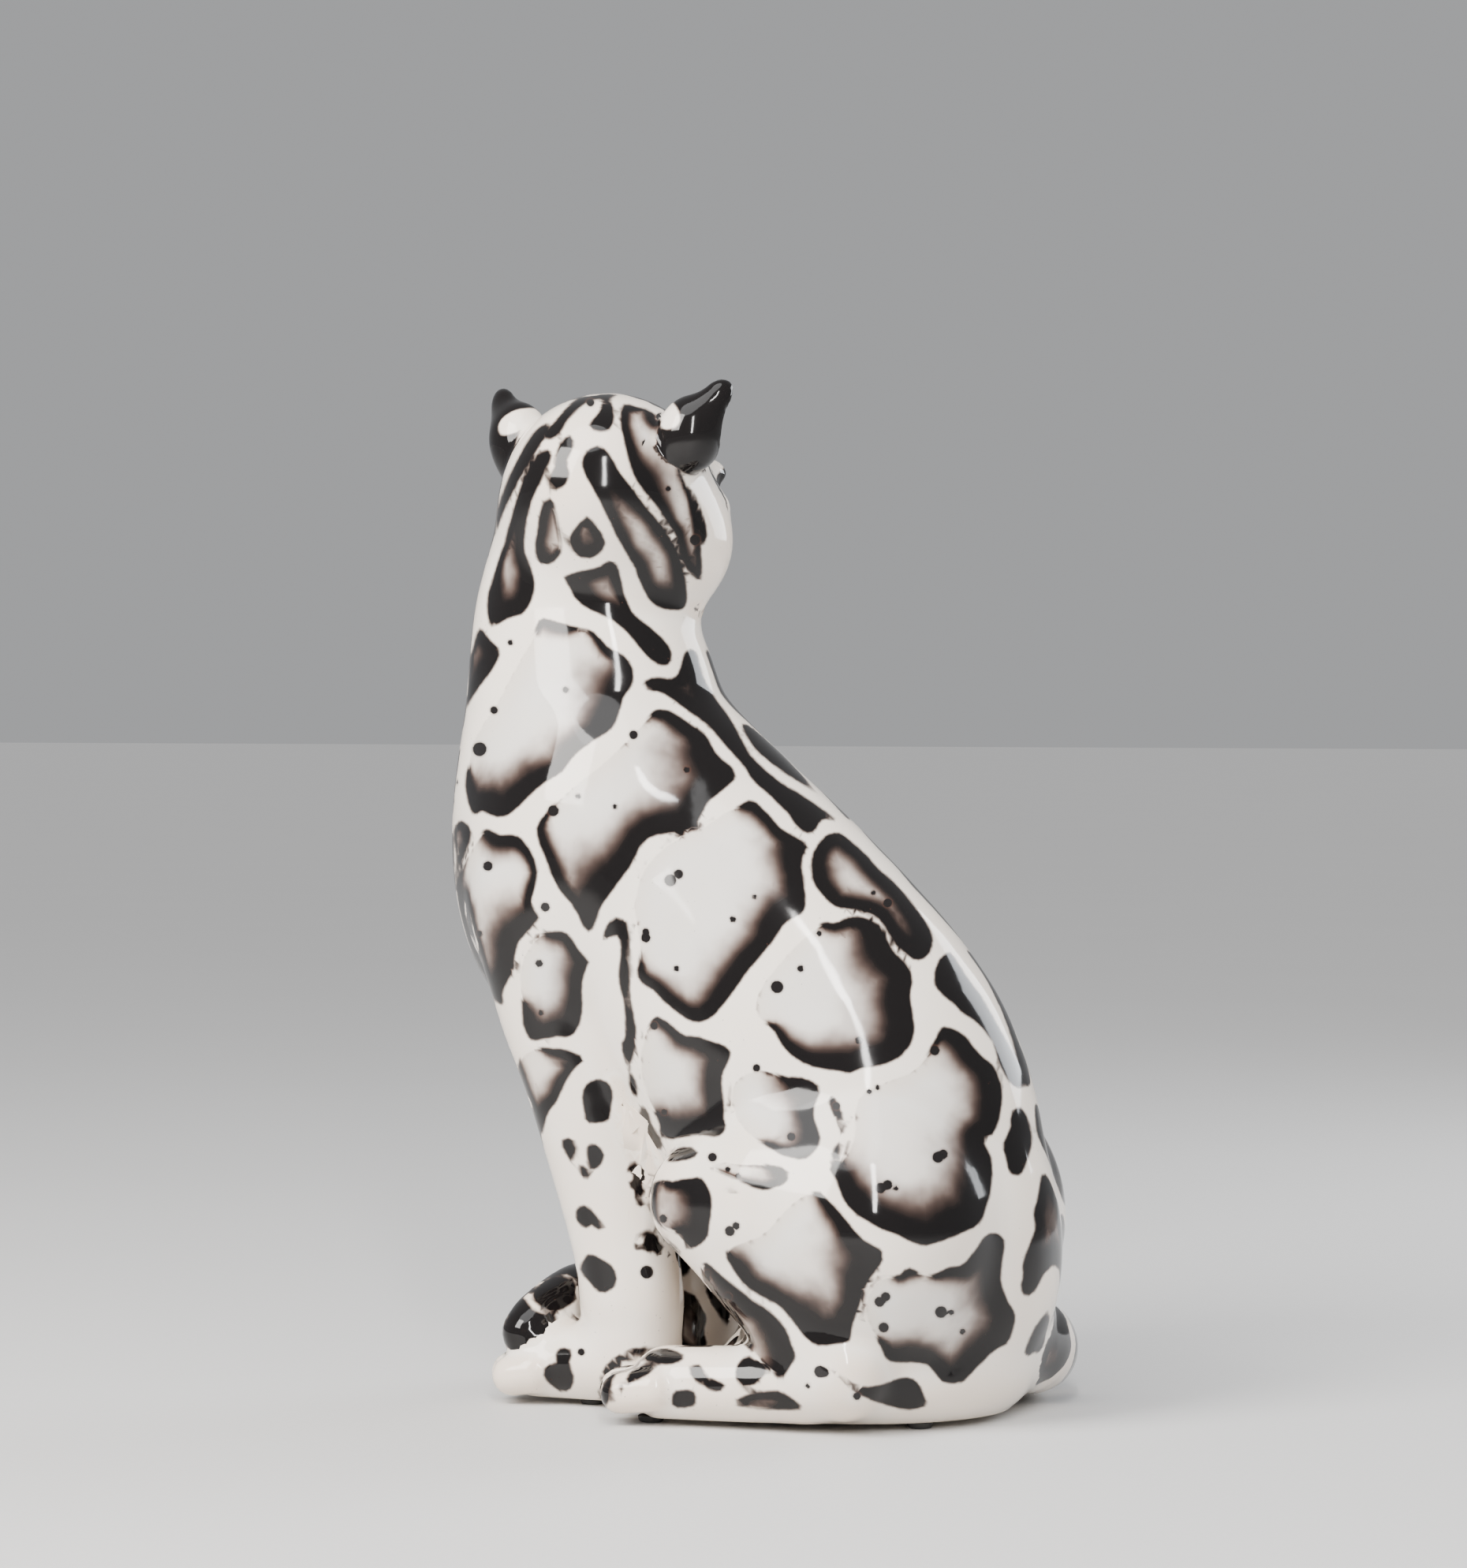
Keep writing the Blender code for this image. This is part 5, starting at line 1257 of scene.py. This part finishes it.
class NodeBench:
    """Lays out one material's nodes."""

    def __init__(self, name):
        self.material = bpy.data.materials.new(name)
        self.material.use_nodes = True
        self.tree = self.material.node_tree
        self.shader = self.tree.nodes["Principled BSDF"]
        self.count = 0

    def add(self, kind, inputs=None, **settings):
        node = self.tree.nodes.new(kind)
        self.count += 1
        node.location = (-220 * (1 + self.count // 6), 200 - 180 * (self.count % 6))
        for key, value in settings.items():
            setattr(node, key, value)
        for key, value in (inputs or {}).items():
            self.feed(node.inputs[key], value)
        return node

    def feed(self, socket, value):
        if isinstance(value, bpy.types.NodeSocket):
            self.tree.links.new(value, socket)
        elif socket.type == "RGBA" and len(value) == 3:
            socket.default_value = (*value, 1)
        else:
            socket.default_value = value

    def sum(self, operation, a, b=0.0, c=0.0, clamp=False):
        node = self.add("ShaderNodeMath", {0: a, 1: b, 2: c}, operation=operation, use_clamp=clamp)
        return node.outputs[0]

    def times(self, a, b, clamp=False):
        return self.sum("MULTIPLY", a, b, clamp=clamp)

    def jittered(self, value, grain, amount):
        """A value with a share of a noise, centred on zero, added to it."""
        return self.sum("MULTIPLY_ADD", self.sum("SUBTRACT", grain, 0.5), amount, value)

    def ramp(self, value, low, high, start=0.0, end=1.0, smooth=True):
        """start where value is at or under low, end at or over high."""
        inputs = {"Value": value, "From Min": low, "From Max": high, "To Min": start, "To Max": end}
        kind = "SMOOTHSTEP" if smooth else "LINEAR"
        return self.add("ShaderNodeMapRange", inputs, interpolation_type=kind).outputs["Result"]

    def mix(self, share, a, b, blend="MIX"):
        node = self.add("ShaderNodeMix", data_type="RGBA", blend_type=blend)
        for index, value in ((0, share), (6, a), (7, b)):
            self.feed(node.inputs[index], value)
        return node.outputs[2]

    def attribute(self, name):
        return self.add("ShaderNodeAttribute", attribute_name=name).outputs["Fac"]

    def places(self, size=None, turn=None):
        """Object coordinates, stretched."""
        node = self.add("ShaderNodeTexCoord")
        mapping = self.add("ShaderNodeMapping", {"Vector": node.outputs["Object"]})
        if size:
            mapping.inputs["Scale"].default_value = size
        if turn:
            mapping.inputs["Rotation"].default_value = turn
        return mapping.outputs["Vector"]

    def noise(self, scale, detail=3.0, roughness=0.5, vector=None):
        inputs = {"Scale": scale, "Detail": detail, "Roughness": roughness,
                  "Vector": vector if vector is not None else self.places()}
        return self.add("ShaderNodeTexNoise", inputs).outputs["Fac"]

    def bump(self, height, strength, distance, under=None):
        inputs = {"Height": height, "Strength": strength, "Distance": distance}
        if under is not None:
            inputs["Normal"] = under
        return self.add("ShaderNodeBump", inputs).outputs["Normal"]

    def set(self, **sockets):
        """Constants and links on the shader, with spaces written as underscores."""
        for name, value in sockets.items():
            self.feed(self.shader.inputs[name.replace("_", " ")], value)
        return self.material


def glaze_material(colours):
    bench = NodeBench("leopard_glaze")
    depth, share, edge, dot, loose, ridge, bare, nose = (bench.attribute(name) for name in (
        "coat_depth", "coat_share", "coat_edge", "dot_depth", "loose_dots", "ridge", "bare", "muzzle"))
    brush = bench.noise(210, 3)
    hand = bench.noise(60, 2)
    cloud = bench.noise(14, 3, 0.55)
    depth = bench.jittered(depth, brush, 0.9)

    # one black band inside each outline: sharp outside, fading through umber inside
    strong = bench.sum("MAXIMUM", bench.ramp(edge, 0.4, 1.6), bench.ramp(depth, 0.2, 1.6))
    start = bench.times(bench.ramp(depth, -0.9, 0.8), strong)
    share = bench.times(share, bench.ramp(hand, 0.25, 0.75, 0.85, 1.15, smooth=False))
    black, brown, grey = (bench.times(start, bench.ramp(share, low, high, 1, 0))
                          for low, high in ((0.9, 2.2), (1.15, 3.0), (1.3, 3.8)))
    halo = bench.ramp(depth, -1.5, 0.2, 0, 0.35)

    # cream ground, paler hearts, glaze thin and warm on ridges, and painted shade darkening the hollows
    ground = bench.mix(bench.ramp(cloud, 0.3, 0.75), colours.ground, toned(colours.ground, 1.04, 1.03, 1.02))
    heart = bench.mix(bench.ramp(cloud, 0.35, 0.7, 0, 0.5), colours.heart, colours.ground)
    paint = bench.mix(bench.ramp(depth, 0.5, 12), ground, heart)
    paint = bench.mix(bench.times(ridge, 0.55, clamp=True), paint, toned(colours.ground, 0.92, 0.80, 0.70))
    # painted shade: darker brown glaze in the hollows, where the curvature turns inward
    paint = bench.mix(bench.times(ridge, -0.5, clamp=True), paint, toned(colours.ground, 0.72, 0.60, 0.50))
    paint = bench.mix(bench.times(halo, strong), paint, toned(colours.ground, 0.45))
    paint = bench.mix(bench.times(grey, 0.42), paint, (0.42, 0.34, 0.30))
    paint = bench.mix(bench.times(brown, 0.90), paint, colours.umber)
    paint = bench.mix(black, paint, colours.black)

    # drawn dots, and scattered ones inside the blotches where none is drawn
    scatter = bench.add("ShaderNodeTexVoronoi", {"Vector": bench.places(), "Scale": 55.0, "Randomness": 0.9},
                        feature="F1", voronoi_dimensions="3D")
    speck = bench.times(bench.ramp(scatter.outputs["Distance"], 0.105, 0.13, 1, 0), loose)
    speck = bench.times(speck, bench.ramp(depth, 2.0, 4.0))
    spots = bench.sum("MAXIMUM", bench.ramp(bench.jittered(dot, brush, 0.5), -0.35, 0.35), speck)
    paint = bench.mix(bench.times(bench.ramp(dot, -1.3, 0.3), 0.4), paint, colours.umber)
    paint = bench.mix(spots, paint, toned(colours.black, 1.6))
    paint = bench.mix(nose, paint, (0.035, 0.016, 0.013))

    # tiny iron specks in the clay under the glaze
    iron = bench.add("ShaderNodeTexVoronoi", {"Vector": bench.places(), "Scale": 190.0}, feature="F1")
    fleck = bench.ramp(iron.outputs["Distance"], 0.05, 0.09, 0.35, 0)
    paint = bench.mix(bench.times(fleck, bench.ramp(cloud, 0.45, 0.6)), paint, colours.umber)

    # bare clay inside, and on the rim that the figure stands on
    height = bench.add("ShaderNodeSeparateXYZ", {"Vector": bench.places()}).outputs["Z"]
    rim = bench.ramp(height, (UNDERSIDE + 0.3) * MM, (UNDERSIDE + 1.6) * MM, 1, 0)
    unglazed = bench.sum("MAXIMUM", bare, rim)
    clay = bench.mix(bench.ramp(bench.noise(420, 4), 0.3, 0.7), colours.body_clay,
                     toned(colours.body_clay, 0.86))
    paint = bench.mix(unglazed, paint, clay)

    gloss = bench.ramp(bench.noise(34, 3), 0.3, 0.7, colours.gloss * 0.75, colours.gloss * 1.5)
    gloss = bench.sum("MULTIPLY_ADD", unglazed, 0.75, gloss)
    ripple = bench.sum("ADD", bench.noise(26, 2), bench.times(bench.noise(90, 2), 0.18))
    normal = bench.bump(ripple, 0.22, 0.0012)
    normal = bench.bump(bench.times(bench.noise(900, 3), unglazed), 0.35, 0.0003, normal)
    return bench.set(Base_Color=paint, Roughness=gloss, Normal=normal, IOR=1.41)


class LAMP_OT_glaze(Operator):
    """Glazes the figure and brings it to the lamp's frame in place of its plain solid"""
    bl_idname = "leopard_lamp.glaze"
    bl_label = "Glaze"

    def execute(self, context):
        figure = bpy.data.objects["glazed_figure"]
        to_frame(figure)
        finish_shape(figure, 42)
        dress(figure, glaze_material(context.scene.lamp_glaze))
        belong(figure, ["ceramic_figure"])
        return {"FINISHED"}


def eye_material(colours):
    """Iris and slit pupil seen through a clear dome, from the eye's own across and up attributes."""
    bench = NodeBench("leopard_eye_glass")
    across, up = bench.attribute("eye_across"), bench.attribute("eye_up")

    def from_middle(x, y):
        return bench.sum("SQRT", bench.sum("ADD", bench.times(x, x), bench.times(y, y)))

    out = from_middle(across, up)
    slit = from_middle(bench.sum("DIVIDE", across, colours.pupil * 0.62), bench.sum("DIVIDE", up, 0.62))
    turn = bench.times(bench.sum("ARCTAN2", up, across), 4.0)
    spread = bench.add("ShaderNodeCombineXYZ", {"X": turn, "Y": out}).outputs[0]
    rays = bench.add("ShaderNodeTexNoise", {"Vector": spread, "Scale": 5.0, "Detail": 4.0}).outputs["Fac"]
    iris = bench.mix(bench.ramp(rays, 0.3, 0.7), colours.iris, toned(colours.iris, 1.9))
    outer = bench.mix(rays, toned(colours.iris, 0.55), colours.iris)
    iris = bench.mix(bench.ramp(out, 0.25, 0.6), iris, outer)
    iris = bench.mix(bench.ramp(out, 0.72, 0.9), iris, colours.rim)
    iris = bench.mix(bench.ramp(slit, 0.9, 1.05, 1, 0), iris, (0.004, 0.004, 0.004))
    gloss = bench.ramp(bench.noise(400, 2), 0.3, 0.7, 0.02, 0.04)
    return bench.set(Base_Color=iris, Roughness=gloss, IOR=1.52, Coat_Weight=1.0, Coat_Roughness=0.01,
                     Coat_IOR=1.52)


class LAMP_OT_eyes(Operator):
    """Makes the two glass eyes, domed, with a step where the rim sits in the socket"""
    bl_idname = "leopard_lamp.eyes"
    bl_label = "Glass eyes"

    def execute(self, context):
        glass = eye_material(context.scene.lamp_eyes)
        dome = [(0, 3.2), (1.8, 3.12), (3.4, 2.9), (5.0, 2.5), (6.4, 2.0), (7.7, 1.4), (8.7, 0.7), (9.4, 0.1),
                (9.8, -0.3), (10, -0.9), (10, -4.6), (9.7, -5.0), (9.7, -EYE_DEPTH + 0.4), (9.3, -EYE_DEPTH),
                (0, -EYE_DEPTH)]
        scale = EYE_RADIUS / 10 * MM
        for side, name in ((1, "left"), (-1, "right")):
            eye = spun("glass_eye_" + name, [(r * scale, z * MM) for r, z in dome], 48)
            local = vertex_array(eye.data)
            centre, gaze = eye_axes(side)
            look = Vector(gaze)
            sideways = Vector((0, 0, 1)).cross(look).normalized()
            turn = Matrix((sideways, look.cross(sideways), look)).transposed().to_4x4()
            write_attribute(eye.data, "eye_across", local[:, 0] / (EYE_RADIUS * MM))
            write_attribute(eye.data, "eye_up", local[:, 1] / (EYE_RADIUS * MM))
            eye.matrix_world = Matrix.Translation(DRAWN_ORIGIN + Vector(centre) * MM) @ turn
            settle_object(eye)
            finish_shape(eye, 50)
            dress(eye, glass)
            belong(eye, ["eye_" + name])
        return {"FINISHED"}


def rubber_material(name, colour):
    bench = NodeBench(name)
    grain = bench.noise(900, 4, 0.6)
    dust = bench.noise(60, 4, 0.6)
    paint = bench.mix(bench.ramp(dust, 0.45, 0.8, 0, 0.5), colour, tuple(c * 2.2 + 0.02 for c in colour))
    return bench.set(Base_Color=paint, Roughness=bench.ramp(dust, 0.3, 0.7, 0.55, 0.8),
                     Normal=bench.bump(grain, 0.3, 0.0002))


def metal_material(name, colour, roughness, tarnish, tint, brushed=(1, 1, 1)):
    """A metal with tarnish in patches, fine scratches and a duller film."""
    bench = NodeBench(name)
    scratches = bench.noise(700, 3, 0.6, bench.places(size=brushed))
    patches = bench.noise(70, 5, 0.6)
    stain = bench.times(bench.ramp(patches, 0.42, 0.78), tarnish)
    paint = bench.mix(stain, colour, tint)
    dull = bench.sum("ADD", bench.ramp(scratches, 0.2, 0.8, roughness * 0.8, roughness * 1.3),
                     bench.times(stain, 0.25))
    return bench.set(Base_Color=paint, Metallic=1.0, Roughness=dull,
                     Normal=bench.bump(scratches, 0.15, 0.0001))


def powder_material(name, colour, roughness, grain_scale, grain, gloss_coat=0.0):
    """A mineral or paper surface with fine grain."""
    bench = NodeBench(name)
    fine = bench.noise(grain_scale, 5, 0.65)
    broad = bench.noise(45, 3)
    paint = bench.mix(bench.ramp(broad, 0.3, 0.75, 0, 0.6), colour, toned(colour, 0.82))
    dull = bench.ramp(fine, 0.3, 0.7, roughness * 0.9, min(1, roughness * 1.1))
    return bench.set(Base_Color=paint, Roughness=dull, Normal=bench.bump(fine, grain, 0.0002),
                     Coat_Weight=gloss_coat)


def glass_material(name, colour, frost):
    bench = NodeBench(name)
    film = bench.noise(120, 4)
    return bench.set(Base_Color=colour, Roughness=bench.ramp(film, 0.3, 0.7, frost, frost * 1.3 + 0.02),
                     Transmission_Weight=0.9, IOR=1.5)


class LAMP_OT_pads(Operator):
    """Makes the rubber pads, moulded with a lip and a hollow in their undersides"""
    bl_idname = "leopard_lamp.pads"
    bl_label = "Rubber pads"

    def execute(self, context):
        rubber = rubber_material("pad_rubber", (0.035, 0.034, 0.033))
        profile = [(0, 3.2), (6.0, 3.2), (6.35, 2.9), (6.2, 1.4), (5.7, 0.5), (5.2, 0.05), (4.8, 0), (3.6, 0),
                   (3.0, 0.5), (2.2, 0.8), (0, 0.8)]
        model = spun("pad_model", [(r * MM, z * MM) for r, z in profile], 40)
        finish_shape(model, 30)
        dress(model, rubber)
        for end in ("paw", "front", "rear"):
            for name in ("left", "right"):
                node = "pad_%s_%s" % (end, name)
                low, high = (Vector(corner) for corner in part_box(node))
                pad = model.copy()
                pad.data = model.data.copy()
                pad.name = pad.data.name = "moulded_" + node
                context.scene.collection.objects.link(pad)
                pad.location = ((low.x + high.x) / 2, (low.y + high.y) / 2, low.z)
                settle_object(pad)
                belong(pad, [node])
        bpy.data.objects.remove(model, do_unlink=True)
        return {"FINISHED"}


class LAMP_OT_grommet(Operator):
    """Makes the rubber grommet that lines the cord's hole"""
    bl_idname = "leopard_lamp.grommet"
    bl_label = "Cord grommet"

    def execute(self, context):
        low, high = (Vector(corner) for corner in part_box("cord_grommet"))
        reach = WALL + 2
        profile = [(3.4, 2.6), (3.8, 3.2), (4.6, 3.5), (6.4, 3.2), (8.6, 2.6), (9.3, 2.0), (9.5, 1.4),
                   (9.5, 0.7), (9.2, 0.35), (6.7, 0.3), (6.7, -reach + 1), (6.2, -reach), (3.9, -reach),
                   (3.4, -reach + 0.5), (3.4, 2.6)]
        grommet = spun("moulded_grommet", [(r * MM, z * MM) for r, z in profile], 48)
        middle = (low + high) / 2
        outer_face = 3.5 * MM
        grommet.matrix_world = (Matrix.Translation((low.x + outer_face, middle.y, middle.z))
                                @ Matrix.Rotation(-math.pi / 2, 4, "Y"))
        settle_object(grommet)
        finish_shape(grommet, 30)
        dress(grommet, rubber_material("grommet_rubber", (0.03, 0.029, 0.028)))
        belong(grommet, ["cord_grommet"])
        return {"FINISHED"}


class LAMP_OT_hardware(Operator):
    """Finishes the lamp hardware inside and under the figure: plate, bar, nuts, lampholder and bulb"""
    bl_idname = "leopard_lamp.hardware"
    bl_label = "Lamp hardware"

    def execute(self, context):
        zinc = metal_material("zinc_plated_steel", (0.58, 0.59, 0.60), 0.34, 0.5, (0.30, 0.29, 0.27))
        steel = metal_material("bright_steel", (0.55, 0.55, 0.56), 0.26, 0.4, (0.22, 0.17, 0.13), (1, 1, 8))
        brass = metal_material("socket_brass", (0.80, 0.58, 0.24), 0.24, 0.6, (0.34, 0.20, 0.09), (1, 1, 6))
        finishes = {
            zinc: ("base_plate", "crossbar"),
            steel: ("base_washer", "base_nut", "crossbar_washer", "crossbar_nut", "socket_lock_nut",
                    "lamp_pipe"),
            brass: ("socket_cap", "socket_shell", "screw_shell", "centre_contact", "terminal_live",
                    "terminal_neutral", "bulb_contact", "bulb_cap"),
            rubber_material("gasket_rubber", (0.045, 0.042, 0.040)): ("base_gasket",),
            powder_material("pressed_card", (0.30, 0.23, 0.16), 0.85, 800, 0.4): ("socket_liner",),
            powder_material("glazed_porcelain", (0.80, 0.78, 0.72), 0.18, 300, 0.05, 0.4): ("socket_core",),
            powder_material("setting_plaster", (0.76, 0.73, 0.66), 0.9, 600, 0.5): ("eye_ring_left",
                                                                                    "eye_ring_right"),
            powder_material("black_glass_insulator", (0.02, 0.02, 0.022), 0.12, 200, 0.05, 0.6): (
                "bulb_insulator",),
            glass_material("frosted_bulb_glass", (0.93, 0.92, 0.88), 0.32): ("bulb_glass",),
            glass_material("stem_glass", (0.94, 0.96, 0.96), 0.03): ("bulb_stem",),
            metal_material("tungsten", (0.30, 0.29, 0.28), 0.4, 0.3, (0.12, 0.11, 0.11)): ("bulb_filament",),
        }
        for finish, names in finishes.items():
            for name in names:
                dress_node(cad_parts[name], finish)
        return {"FINISHED"}


def dress_node(node, finish):
    for slot in node.material_slots:
        slot.material = finish


# ---- stage -----------------------------------------------------------------------------------------
def aim_at(ob, place):
    ob.rotation_mode = "QUATERNION"
    ob.rotation_quaternion = (Vector(ob.location) - Vector(place)).to_track_quat("Z", "Y")


def softbox(name, place, aim, size, power, colour):
    bpy.ops.object.light_add(type="AREA", location=place)
    lamp = bpy.context.object
    lamp.name = lamp.data.name = name
    lamp.data.shape = "RECTANGLE"
    lamp.data.size, lamp.data.size_y = size
    lamp.data.energy = power
    lamp.data.color = colour
    aim_at(lamp, aim)


class LAMP_OT_stage(Operator):
    """Lays the floor, hangs the softboxes and sets the camera"""
    bl_idname = "leopard_lamp.stage"
    bl_label = "Stage"

    def execute(self, context):
        settings = context.scene.lamp_stage
        bpy.ops.object.select_all(action="DESELECT")
        bpy.ops.mesh.primitive_plane_add(size=60, location=(0, 0, 0))
        floor = context.object
        floor.name = floor.data.name = "studio_floor"
        bench = NodeBench("floor_paper")
        grain = bench.noise(300, 4)
        paint = bench.mix(bench.ramp(bench.noise(3, 3), 0.3, 0.7, 0, 0.25), settings.floor,
                          toned(settings.floor, 0.96))
        dress(floor, bench.set(Base_Color=paint, Roughness=bench.ramp(grain, 0.3, 0.7, 0.55, 0.65)))

        world = bpy.data.worlds.new("studio")
        context.scene.world = world
        world.use_nodes = True
        background = world.node_tree.nodes["Background"]
        background.inputs["Color"].default_value = (0.88, 0.89, 0.91, 1)
        background.inputs["Strength"].default_value = 0.45

        azimuth = math.radians(settings.azimuth)
        back = Vector(outward(settings.azimuth, settings.elevation))
        right = Vector((math.cos(azimuth), math.sin(azimuth), 0))
        aim = Vector(settings.aim) + DRAWN_ORIGIN
        middle = Vector((0, 0, 0.26))
        for name, behind, beside, above, size, power, colour in (
                ("key_softbox", 1.1, -1.3, 1.15, (0.9, 1.2), 78, (1.0, 0.97, 0.93)),
                ("strip_softbox", 1.5, 0.05, 0.75, (0.09, 1.1), 24, (1.0, 0.98, 0.96)),
                ("fill_softbox", -0.9, 1.6, 0.7, (1.0, 1.0), 34, (0.93, 0.96, 1.0))):
            place = middle + back * behind + right * beside + Vector((0, 0, above))
            softbox(name, place, middle, size, power, colour)
        bpy.ops.object.light_add(type="SUN", location=middle + back * 0.8 - right * 0.5 + Vector((0, 0, 2)))
        ceiling = context.object
        ceiling.name = ceiling.data.name = "ceiling_light"
        ceiling.data.energy = 1.5
        ceiling.data.angle = math.radians(40)
        aim_at(ceiling, middle)

        bpy.ops.object.camera_add(location=aim + back * settings.distance)
        camera = context.object
        camera.name = camera.data.name = "studio_camera"
        camera.data.lens = settings.lens
        aim_at(camera, aim)
        context.scene.camera = camera
        return {"FINISHED"}


# ---- panel and registration ------------------------------------------------------------------------
class LAMP_PT_panel(Panel):
    """Lists the steps that make the leopard lamp"""
    bl_idname = "LAMP_PT_panel"
    bl_label = "Leopard Lamp"
    bl_space_type = "VIEW_3D"
    bl_region_type = "UI"
    bl_category = "Leopard Lamp"

    def draw(self, context):
        layout = self.layout
        for group in GROUP_NAMES:
            box = layout.box()
            box.label(text=group.replace("_", " ").capitalize())
            settings = getattr(context.scene, group)
            for name in settings.__annotations__:
                box.prop(settings, name)
        for operator in STEPS:
            layout.operator(operator.bl_idname)


GROUP_NAMES = {"lamp_figure": LampFigure, "lamp_coat": LampCoat, "lamp_glaze": LampGlaze,
               "lamp_eyes": LampEyes, "lamp_stage": LampStage}
STEPS = (LAMP_OT_figure, LAMP_OT_coat, LAMP_OT_glaze, LAMP_OT_eyes, LAMP_OT_pads, LAMP_OT_grommet,
         LAMP_OT_hardware, LAMP_OT_stage)


def register():
    for cls in (*GROUP_NAMES.values(), *STEPS, LAMP_PT_panel):
        bpy.utils.register_class(cls)
    for name, group in GROUP_NAMES.items():
        setattr(bpy.types.Scene, name, PointerProperty(type=group))


def unregister():
    for name in GROUP_NAMES:
        delattr(bpy.types.Scene, name)
    for cls in reversed((*GROUP_NAMES.values(), *STEPS, LAMP_PT_panel)):
        bpy.utils.unregister_class(cls)


def main():
    register()
    bpy.ops.leopard_lamp.figure()
    bpy.ops.leopard_lamp.coat()
    bpy.ops.leopard_lamp.glaze()
    bpy.ops.leopard_lamp.eyes()
    bpy.ops.leopard_lamp.pads()
    bpy.ops.leopard_lamp.grommet()
    bpy.ops.leopard_lamp.hardware()
    bpy.ops.leopard_lamp.stage()


if __name__ == "__main__":
    main()
